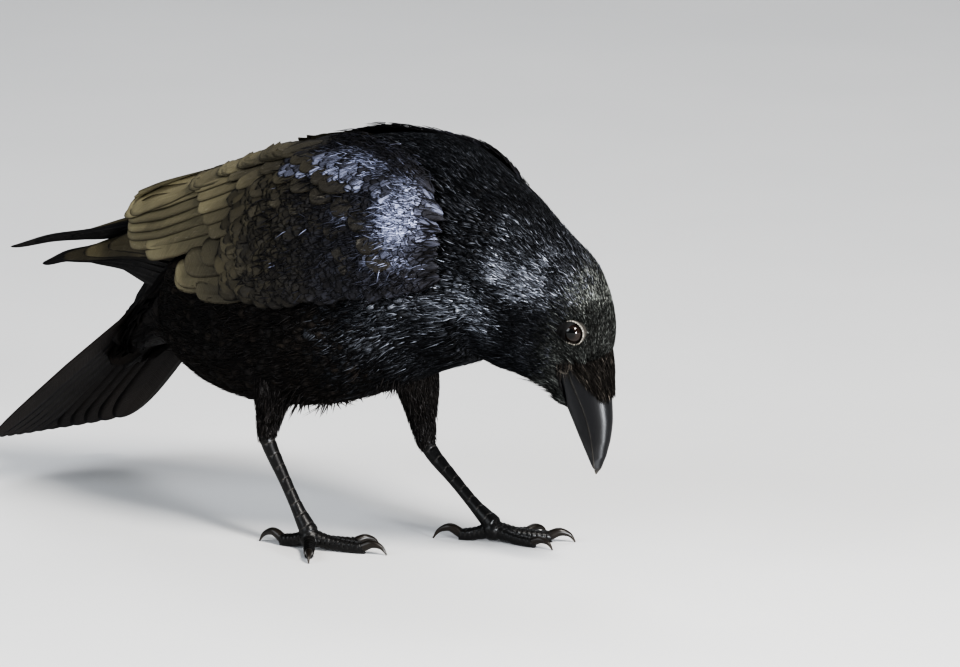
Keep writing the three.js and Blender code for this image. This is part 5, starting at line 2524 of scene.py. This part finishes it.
WING_ROWS = (
    Row("secondaries", 5, (
        (-60, 0.82, -25, 0.76, 40, 0.62, 8.0), (-74, 0.90, -32, 0.84, 40, 0.70, 8.0),
        (-81, 0.96, -35, 0.91, 40, 0.76, 8.0), (-81, 1.01, -35, 0.96, 40, 0.82, 7.0),
        (-63, 1.04, -25, 1.00, 40, 0.88, 6.5)), Outline.BROAD, (5.2, 1.2)),
    Row("tertials", 7, (
        (-134, -0.03, -88, 0.12, 15, 0.06, 12), (-137, 0.08, -88, 0.21, 15, 0.14, 12),
        (-135, 0.22, -88, 0.33, 15, 0.24, 12), (-132, 0.37, -88, 0.43, 15, 0.34, 11.5),
        (-130, 0.50, -86, 0.52, 17, 0.44, 11), (-127, 0.62, -84, 0.61, 20, 0.52, 11),
        (-109, 0.77, -72, 0.70, 20, 0.60, 10)), Outline.BROAD, (5.0, 0.6), inside=0.0, steps=22),
    Row("greater_coverts", 9, (
        (-88, -0.02, -58, 0.02, 0, 0.02, 10), (-86, 0.12, -55, 0.12, 0, 0.1, 9.5),
        (-82, 0.24, -50, 0.21, 0, 0.18, 9), (-77, 0.35, -45, 0.31, 5, 0.28, 8.5),
        (-70, 0.47, -38, 0.42, 10, 0.38, 8.5), (-63, 0.56, -31, 0.50, 20, 0.45, 8),
        (-56, 0.66, -24, 0.59, 30, 0.52, 8.0), (-43, 0.77, -12, 0.69, 40, 0.60, 8.0),
        (-30, 0.90, 0, 0.82, 45, 0.70, 7.5)),
        Outline.BROAD, (4.0, 0.15)),
    Row("primary_coverts", 4, (
        (-32, 0.90, 5, 0.86, 50, 0.78, 6.5), (-29, 0.96, 8, 0.92, 50, 0.84, 6.5),
        (-28, 1.01, 10, 0.98, 55, 0.88, 6.0),
        (-3, 1.01, 25, 0.98, 60, 0.90, 6.0)), Outline.BROAD, (4.0, 0.4)),
    Row("median_coverts", 12, (
        (-70, -0.02, -52, -0.03, -28, -0.03, 8.5), (-62, 0.20, -46, 0.16, -24, 0.10, 8.2),
        (-41, 0.40, -26, 0.35, -2, 0.28, 7.6), (-5, 0.54, 10, 0.49, 32, 0.42, 7.2),
        (26, 0.66, 40, 0.60, 58, 0.52, 6.8), (40, 0.88, 52, 0.80, 68, 0.70, 6.5)),
        Outline.ROUND, (2.6, 0.0), steps=12),
    Row("upper_median_coverts", 12, (
        (-56, -0.03, -40, -0.04, -18, -0.04, 8.2), (-50, 0.12, -35, 0.09, -14, 0.04, 7.8),
        (-26, 0.32, -12, 0.27, 8, 0.2, 7.4), (6, 0.45, 20, 0.40, 40, 0.3, 7.0),
        (40, 0.58, 52, 0.52, 68, 0.4, 6.6), (56, 0.86, 66, 0.76, 80, 0.6, 6.2)),
        Outline.ROUND, (1.8, -0.3), steps=12),
    Row("marginal_coverts", 9, (
        (-40, -0.03, -25, -0.04, -4, -0.04, 8.0), (-32, 0.10, -18, 0.07, 2, 0.02, 7.6),
        (-10, 0.26, 4, 0.21, 24, 0.14, 7.2),
        (18, 0.40, 32, 0.35, 50, 0.26, 6.8)), Outline.ROUND, (1.2, -0.7), steps=12),
)


@dataclass(frozen=True)
class Wing:
    """A folded wing: rows of flight feathers and coverts on its outer face."""

    side: Side
    face_height: float = 66  # about how tall the folded wing's face is
    coverts: int = 1600  # how many roots the small coverts start from
    shoulder_feathers: int = 170
    row_seed: int = 40
    covert_seed: int = 51
    shoulder_seed: int = 61
    primary_seed: int = 71
    painted_gloss_spots: tuple = (
        # Painted sheen on the wrist and scapulars: x, share down, reach in x, reach in share, strength
        (71, 0.48, 10, 0.18, 1.2), (67, 0.80, 9, 0.06, 0.8), (36, 0.22, 21, 0.075, 1.05),
        (73, 0.24, 7, 0.10, 0.7), (40, 0.56, 6, 0.05, 0.35),
    )

    @property
    def form(self) -> WingForm:
        """The wing's outer face."""
        return WingForm(side=self.side)

    def gloss(self, x: Array, down: Array) -> Array:
        """How glossy the coverts are at a place of the wing, with painted sheen in spots on the wrist and
        scapulars.

        Args:
            x: Places along x.
            down: Shares down from the upper edge.

        Returns:
            How glossy each place is.
        """
        shine = np.interp(x, (0, 60), (0.012, 0.05))
        # Painted sheen: each spot raises the gloss, which also pales the colour.
        for at, share, far, wide, strength in self.painted_gloss_spots:
            near = np.exp(-(((x - at) / far) ** 2) - ((down - share) / wide) ** 2)
            shine = np.maximum(shine, strength * near)
        if self.side is Side.LEFT:  # the far wrist faces the light and would shine white
            shine = shine * 0.45 * np.interp(x, (56, 72), (1.0, 0.25))
        # The front edge is dulled where a grazing lamp would catch it.
        return shine * np.interp(x, (76, 88), (1.0, 0.15))

    @staticmethod
    def wear(x: Array) -> Array:
        """How browned the feathers are: olive brown behind, black towards the shoulder."""
        return np.interp(x, (-115, -85, -55, -38, -20, 5, 30), (1.0, 0.82, 0.56, 0.33, 0.17, 0.07, 0.0))

    def row(self, plumes: Plumes, row: Row, seed: int, patches: Array) -> None:
        """Adds one row of feathers.

        Args:
            plumes: What the feathers are added to.
            row: The row.
            seed: Picks the random numbers.
            patches: The roots' places on the baking map.
        """
        rng = np.random.default_rng(seed)
        keys = read_rows(np.array(row.keys, float), np.linspace(0, 1, row.count))
        wobble = rng.uniform(-1, 1, (row.count, 2))
        tip = keys[:, 0:2] + wobble * [1.2, row.jitter]
        mid, root, half = keys[:, 2:4], keys[:, 4:6], keys[:, 6]
        share = steps(row.steps, 1.7)
        lines = np.stack([read_rows(np.stack([r, m, t]), share) for r, m, t in zip(root, mid, tip)])
        inside = (half[:, None] - 1.5) / self.face_height * row.outline.half(share) + row.inside
        lines[..., 1] = np.maximum(lines[..., 1], inside)
        depth = row.sink[1] + (row.sink[0] - row.sink[1]) * (1 - share) ** 1.4
        height = np.broadcast_to(-depth, lines.shape[:2])
        lie = self.form.follow(lines[..., 0], lines[..., 1], height, share)
        lower = -self.side.value
        tilted = unit(lie.side + lie.out * row.tilt * lower)
        out = unit(np.cross(np.gradient(lie.middle, axis=1), tilted))
        lie = Lie(lie.middle, out, tilted, share, lie.length)
        wear = self.wear(lines[..., 0] + 14 * (lines[..., 1] - 0.5))
        wear = wear * rng.uniform(0.75, 1.0, (row.count, 1))
        spread = row.outline.half(share)
        plumes.add(lie, half, VANE, rng.random(row.count), patches, spread, float(lower), 0.9, wear)

    def build(self) -> Piece:
        """Makes the rows of the wing as one piece.

        Returns:
            The piece.
        """
        plumes = Plumes()
        for index, row in enumerate(WING_ROWS):
            seed = self.row_seed + index
            self.row(plumes, row, seed, 0.1 + 0.8 * scattered(row.count, seed))
        return plumes.shell().build(f"wing_feathers_{self.side.word}", WING_BROWN.material)

    def strands(self, plumes: Plumes, rng: np.random.Generator, x: Array, down: Array, each: int,
                length: float) -> None:
        """Adds loose fine barbs over the small coverts.

        Args:
            plumes: What the feathers are added to.
            rng: Gives the random numbers.
            x: The tufts' places along x.
            down: Their shares down from the upper edge.
            each: How many barbs a tuft has.
            length: How long they are.
        """
        many = len(x) * each
        ahead, aside = rng.normal(0, 3, many), rng.normal(0, 0.03, many)
        roots = (np.repeat(x, each) + ahead, np.repeat(down, each) + aside)
        share = steps(3, 1.3)
        loose = np.interp(roots[0], (60, 84), (1.1, 0.3))
        rise = (np.full(many, -0.9), rng.random(many) ** 2 * loose * smooth(roots[1] / 0.12))
        reach = length * rng.uniform(0.5, 1.2, many)
        lie = self.form.run(roots, reach, rng.normal(0.28, 0.25, many), rise, share)
        # These barbs carry the wing's painted sheen.
        gloss = self.gloss(*roots) * rng.random(many) * 1.5
        gloss = np.clip(gloss + 0.5 * (rng.random(many) > 0.990), 0, 1)
        patch = np.stack([0.1 + roots[0] / 120, roots[1]], axis=1) * 0.8 + 0.05
        half, tone = rng.uniform(0.22, 0.42, many), rng.random(many)
        plumes.add(lie, half, HAIR, tone, patch, Outline.STRAND.half(share), gloss=gloss, wear=0.0)

    def small_coverts(self) -> Piece:
        """The small scale-like feathers of the wrist and forearm.

        Returns:
            The piece.
        """
        rng = np.random.default_rng(self.covert_seed)
        form = self.form
        x, down = form.scatter(self.coverts, (-26, 90), (0.05, 1.0), self.covert_seed + 1)
        edge = -24 + 40 * (1 - smooth(down / 0.45))
        keep = (x > edge + 36 * rng.random(len(x)) ** 1.3) & (x < 76 + 60 * down)
        x, down = x[keep], down[keep]
        count = len(x)
        size = np.interp(x, (-26, -10, 10, 88), (1.8, 1.5, 1.2, 0.72)) * rng.uniform(0.85, 1.15, count)
        share = steps(5)
        slant = rng.normal(0.25, 0.1, count)
        rise = (np.full(count, -2.2), rng.uniform(-0.2, 0.2, count) * np.clip((96 - x) / 20, 0, 1))
        lie = form.run((x, down), 15 * size, slant, rise, share)
        plumes = Plumes()
        patch = np.stack([0.1 + x / 120, down], axis=1) * 0.8 + 0.05
        # Their gloss carries the wing's painted sheen.
        plumes.add(lie, 4.4 * size, LEAF, rng.random(count), patch, Outline.ROUND.half(share),
                   gloss=self.gloss(x - 8, down + 0.03) * rng.uniform(0.3, 0.8, count),
                   wear=np.clip(self.wear(x - 14) * rng.uniform(1.0, 1.5, count), 0, 1))
        shiny = rng.random(count) < 0.35 + 1.2 * self.gloss(x, down)
        self.strands(plumes, rng, x[shiny], down[shiny], each=4, length=10)
        return plumes.shell().build(f"lesser_coverts_{self.side.word}", SHOULDER_GLOSS.material)

    def scapulars(self) -> Piece:
        """The pointed glossy feathers that fall from the shoulder over the wing.

        Returns:
            The piece.
        """
        rng = np.random.default_rng(self.shoulder_seed)
        form = self.form
        x, down = form.scatter(self.shoulder_feathers, (10, 74), (0.02, 0.22), self.shoulder_seed + 1)
        count = len(x)
        share = steps(9)
        slant = 0.42 + 0.30 * smooth((x - 10) / 60) + rng.normal(0, 0.06, count)
        length = np.interp(x, (10, 82), (30, 20)) * rng.uniform(0.9, 1.1, count)
        rise = (np.full(count, -2.0), rng.uniform(0.5, 1.2, count) * smooth(down / 0.12) - 0.4)
        lie = form.run((x, down), length, slant, rise, share)
        plumes = Plumes()
        patch = np.stack([0.3 + x / 200, 0.1 + down], axis=1) * 0.8
        half = np.interp(x, (10, 82), (6.2, 4.2))
        # Their gloss carries the wing's painted sheen.
        plumes.add(lie, half, LEAF, rng.random(count), patch, Outline.ROUND.half(share),
                   gloss=self.gloss(x, down) * rng.uniform(0.35, 0.9, count),
                   wear=self.wear(x - 4) * rng.random(count))
        self.strands(plumes, rng, x, down, each=4, length=12)
        return plumes.shell().build(f"scapulars_{self.side.word}", SHOULDER_GLOSS.material)

    def primaries(self) -> Piece:
        """The long flight feathers of the wing's tip, stacked on edge.

        Returns:
            The piece.
        """
        form = PrimaryForm(side=self.side)
        longest = -206 if self.side is Side.RIGHT else -210
        tips = np.array([-132, -152, -172, -190, longest, -196, -176, -150], float)
        count = len(tips)
        share = steps(26, 1.5)
        level = np.linspace(0.8, -0.85, count)
        root = -58
        x = root + (tips[:, None] - root) * share
        closing = 1 - 0.55 * smooth((np.abs(x) - 90) / 110)
        across = level[:, None] * closing + 0.25 * (share - 0.5) * np.sign(level)[:, None] * -1
        height = np.broadcast_to(np.linspace(1.1, -1.1, count)[:, None] * self.side.value, x.shape)
        lie = form.follow(x, across, height * self.side.value, share)
        tall = read_table(form.rows, tips * 0.8)[:, 2]
        half = np.clip(tall * 0.75, 3.2, 7)
        lower = -self.side.value
        plumes = Plumes()
        rng = np.random.default_rng(self.primary_seed)
        patch = 0.1 + 0.8 * scattered(count, self.primary_seed + 1)
        plumes.add(lie, half, VANE, rng.random(count), patch, Outline.LANCE.half(share),
                   flip=float(lower), gloss=0.9, wear=smooth((level + 0.2) / 0.8))
        return plumes.shell().build(f"primary_feathers_{self.side.word}", PRIMARY_BLACK.material)


@dataclass(frozen=True)
class Tail:
    """Twelve tail feathers and the soft coverts over and under their roots."""

    feathers: int = 12
    half: tuple[float, float] = (11.5, 15.5)
    stack: float = 0.17  # how far each feather lies below the next one in
    root: float = -6  # how far ahead of the tail's root they start
    seed: int = 81

    def build(self) -> Piece:
        """Lays the tail feathers, the outer ones lowest.

        Returns:
            The piece.
        """
        rank = np.arange(self.feathers) - (self.feathers - 1) / 2
        place = rank / (self.feathers / 2)
        share = steps(30, 1.6)
        tip = TAIL.length - TAIL.corner_drop * place**2
        down = self.root + (tip[:, None] - self.root) * share
        across = place[:, None] * (0.78 + 0.05 * share)
        height = np.broadcast_to(-self.stack * np.abs(rank)[:, None] + 1.2, down.shape)
        lie = TAIL.follow(down, across, height, share)
        width = np.interp(np.abs(place), (0, 1), (self.half[1], self.half[0]))
        plumes = Plumes()
        rng = np.random.default_rng(self.seed)
        for flip in (-1, 1):
            chosen = np.sign(rank) == flip
            part = Lie(lie.middle[chosen], lie.out[chosen], lie.side[chosen], share, lie.length[chosen])
            count = chosen.sum()
            patch = 0.1 + 0.8 * scattered(count, self.seed + 1 + flip)
            plumes.add(part, width[chosen], FLAT_VANE, rng.random(count), patch, Outline.BROAD.half(share),
                       flip=float(-flip))
        return plumes.shell().build("tail_feathers", TAIL_BROWN.material)

    def coverts(self, upper: bool) -> Piece:
        """The soft coverts over or under the tail's root.

        Args:
            upper: Whether they lie over the tail.

        Returns:
            The piece.
        """
        form = CovertForm(upper=upper)
        seed = 91 if upper else 92
        rng = np.random.default_rng(seed)
        down, angle = form.scatter(560, (0.0, 0.78), (-1.52, 1.52), seed)
        count = len(down)
        share = steps(5)
        length = np.interp(down, (0, 0.8), (44, 40)) * rng.uniform(0.85, 1.15, count)
        rise = (np.full(count, -2.6), rng.uniform(-0.2, 0.5, count))
        lie = form.run((down, angle), length, rng.normal(0, 0.06, count), rise, share, way=1)
        plumes = Plumes()
        patch = CHART.body(0.02 + 0.1 * down, angle * 0.4 + (0 if upper else math.pi))
        half = rng.uniform(6.5, 8.5, count)
        plumes.add(lie, half, LEAF, rng.random(count), patch, Outline.LANCE.half(share), gloss=0.5,
                   wear=rng.random(count))
        name = "uppertail_coat" if upper else "undertail_coat"
        return plumes.shell().build(name, TAIL_BROWN.material)


@dataclass(frozen=True)
class LegDress:
    """The feathered thigh and the claws of one leg."""

    leg: Leg
    count: int = 700
    tuft: tuple[float, float] = (17, 8)
    cuff: float = 0.1  # how far down the shank the coat reaches
    seed: int = 101

    def sleeve(self) -> Limb:
        """The face of the thigh's coat, drawn out over the top of the shank.

        Returns:
            The sleeve as a limb.
        """
        thigh, shank = thigh_of(self.leg), tarsus_of(self.leg)
        places = [tuple(read_rows(thigh.line, np.array([share]))[0]) for share in (0, 0.36, 0.68, 0.92)]
        places.append(tuple(read_rows(shank.line, np.array([self.cuff]))[0]))
        return Limb(tuple(places), (19, 13, 9.9, 6.6, 3.9))

    def thigh(self, index: int) -> Piece:
        """Lays soft feathers down the thigh.

        Args:
            index: The leg's number.

        Returns:
            The piece.
        """
        limb = self.sleeve()
        seed = self.seed + index
        rng = np.random.default_rng(seed)
        down, angle = limb.scatter(self.count, (0.0, 0.84), (-math.pi, math.pi), seed)
        count = len(down)
        length = np.interp(down, (0, 1), self.tuft) * rng.uniform(0.8, 1.2, count)
        plumes = Plumes()
        share = steps(4)
        patch = CHART.limb(8 + index, down, angle)
        tone = rng.random(count)
        rise = (np.full(count, -2.4), rng.uniform(-0.4, 0.3, count))
        lie = limb.run((down, angle), length, rng.normal(0, 0.18, count), rise, share, way=1)
        half = np.interp(down, (0, 1), (4.2, 1.6))
        plumes.add(lie, half, TUFT, tone, patch, Outline.LANCE.half(share), gloss=0.3 + 0.5 * tone, wear=tone)
        fine = steps(2, 1.3)
        each = 8
        many = count * each
        along, aside = rng.uniform(0, 0.1, many), rng.normal(0, 0.3, many)
        root = (np.repeat(down, each) + along, np.repeat(angle, each) + aside)
        reach = np.repeat(length, each) * rng.uniform(0.5, 0.95, many)
        rise = (np.full(many, -1.0), rng.random(many) ** 2 * 1.4)
        lie = limb.run(root, reach, rng.normal(0, 0.2, many), rise, fine, way=1)
        own = rng.random(many)
        plumes.add(lie, rng.uniform(0.2, 0.42, many), HAIR, own, np.repeat(patch, each, axis=0),
                   Outline.STRAND.half(fine), gloss=own**2, wear=own)
        return plumes.shell().build(f"thigh_coat_{self.leg.side.word}", BELLY_MATT.material)

    def claws(self) -> Piece:
        """Makes the four claws of one foot.

        Returns:
            The piece.
        """
        rings, sides = 40, 24
        parts = []
        for toe in TOES:
            limb = claw_of(self.leg, toe)
            down, angle = ring_grid(0, 1, rings, sides)
            shell = loft(limb.point(down, angle), flip=True)
            shell.vane = with_ends(angle / math.pi, down, 0.25 + 0.5 * smooth((down - 0.6) / 0.4))
            shell.span = with_ends(np.sin(angle) * 4, down * limb.length, 0 * down)
            parts.append(shell)
        shell = joined(parts)
        which = np.repeat(np.arange(len(parts)), [len(part.points) for part in parts])
        turn, share, _ = shell.vane.T
        shell.patch = np.stack([0.05 + 0.22 * which + 0.1 * (turn / 2), 0.05 + 0.9 * share], axis=1)
        return shell.build(f"claws_{self.leg.side.word}", CLAW_HORN.material)


@dataclass(frozen=True)
class Studio:
    """A plain pale floor, soft lights and the camera."""

    aim: tuple = (59.57, 30.23, 107.5)  # the point the camera looks at, in the bird's frame
    azimuth: float = math.radians(38)
    elevation: float = math.radians(12)
    distance: float = 5.0
    lens: float = 378.7
    floor_size: float = 40
    # Each lamp's name, power, width, degrees to the camera's right and up, distance and colour.
    lamps: tuple = (
        ("key", 68, 0.6, 34, 46, 2.2, (1, 0.97, 0.92)),
        ("front", 84, 0.4, 33, 2.8, 1.9, (0.93, 0.96, 1)),
        ("fill", 36, 1.6, -60, 25, 2.4, (0.9, 0.95, 1)),
        ("rim", 14, 1.2, 180, 50, 2.4, (0.95, 0.97, 1)),
    )
    sky: float = 0.28

    def back(self, azimuth: float, elevation: float) -> Vector:
        """The way from the bird to something at an azimuth and elevation."""
        level = math.cos(elevation)
        return Vector((math.sin(azimuth) * level, -math.cos(azimuth) * level, math.sin(elevation)))

    def looking(self, item: Piece, place: Vector, target: Vector) -> None:
        """Stands an item at a place, facing a target.

        Args:
            item: The item.
            place: Where it stands.
            target: What it faces.
        """
        item.location = place
        item.rotation_euler = (target - place).to_track_quat("-Z", "Y").to_euler()
        bpy.context.scene.collection.objects.link(item)

    def build(self) -> None:
        """Makes the camera, the lights and the floor."""
        aim = Vector(metres(np.array(self.aim))[0])
        data = bpy.data.cameras.new("camera")
        data.lens = self.lens
        data.sensor_width = 36
        camera = bpy.data.objects.new("camera", data)
        self.looking(camera, aim + self.back(self.azimuth, self.elevation) * self.distance, aim)
        for lamp in self.lamps:
            self.light(aim, *lamp)
        scene = bpy.context.scene
        scene.camera = camera
        scene.view_settings.look = "AgX - High Contrast"
        scene.world = bpy.data.worlds.new("studio")
        scene.world.use_nodes = True
        sky = scene.world.node_tree.nodes["Background"]
        Board(scene.world.node_tree).wire(sky, {0: (0.80, 0.84, 0.90, 1), 1: self.sky})
        self.floor()

    def light(self, aim: Vector, name: str, power: float, size: float, turn: float, height: float,
              far: float, colour: Colour) -> None:
        """Stands one soft light.

        Args:
            aim: What it is turned to.
            name: The lamp's name.
            power: Its power in watts.
            size: Its width in metres.
            turn: Degrees to the camera's right.
            height: Degrees up.
            far: How far off it stands.
            colour: Its colour.
        """
        data = bpy.data.lights.new(name, "AREA")
        data.energy = power
        data.size = size
        data.shape = "DISK"
        data.color = colour
        way = self.back(self.azimuth + math.radians(turn), math.radians(height))
        self.looking(bpy.data.objects.new(name, data), aim + way * far, aim)

    def floor(self) -> None:
        """Lays the pale floor."""
        reach = self.floor_size / 2
        mesh = bpy.data.meshes.new("floor")
        corners = [(x * reach, y * reach, 0) for x, y in ((-1, -1), (1, -1), (1, 1), (-1, 1))]
        mesh.from_pydata(corners, [], [(0, 1, 2, 3)])
        material, board, shader = new_material("pale_floor")
        mottle = board.noise(board.place(), 6.0, 3.0)
        pale = board.mix(mottle, (0.60, 0.60, 0.60), (0.66, 0.655, 0.65))
        board.wire(shader, {"Base Color": pale, "Roughness": 0.85})
        mesh.materials.append(material)
        piece = bpy.data.objects.new("floor", mesh)
        bpy.context.scene.collection.objects.link(piece)


def flesh_nodes() -> list[str]:
    """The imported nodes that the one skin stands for.

    Returns:
        Their names.
    """
    names = ["trunk", "neck", "head"]
    for side in Side:
        names += [f"thigh_{side.word}", f"tarsus_{side.word}"]
        names += [f"toe_{side.word}_{toe.name}" for toe in TOES]
    return names


def main() -> None:
    """Builds the bird piece by piece, then the studio round it."""
    logging.basicConfig(level=logging.INFO, format="%(name)s: %(message)s")
    Studio().build()
    settle(Skin().build(), Slot.PLUMAGE, *flesh_nodes())
    for coat in COATS:
        settle(coat.build(), Slot.PLUMAGE)
    eye = EyeFinish()
    for side in Side:
        settle(EyeBall(side).build(eye), Slot.EYE, f"eye_{side.word}")
        settle(Folds(side).build(), Slot.SCALES)
    upper, lower = BILL.build()
    settle(upper, Slot.HORN, "bill_upper")
    settle(lower, Slot.HORN, "bill_lower")
    settle(Bristles().build(), Slot.PLUMAGE, "nasal_bristles")
    for side in Side:
        wing = Wing(side)
        settle(wing.build(), Slot.FLIGHT, f"wing_{side.word}")
        settle(wing.small_coverts(), Slot.PLUMAGE)
        settle(wing.scapulars(), Slot.PLUMAGE)
        settle(wing.primaries(), Slot.FLIGHT, f"primaries_{side.word}")
    tail = Tail()
    settle(tail.build(), Slot.FLIGHT, "tail")
    settle(tail.coverts(True), Slot.PLUMAGE, "uppertail_coverts")
    settle(tail.coverts(False), Slot.PLUMAGE, "undertail_coverts")
    for index, leg in enumerate(LEGS):
        dress = LegDress(leg)
        settle(dress.thigh(index), Slot.PLUMAGE)
        settle(dress.claws(), Slot.HORN, *[f"claw_{leg.side.word}_{toe.name}" for toe in TOES])


if __name__ == "__main__":
    main()
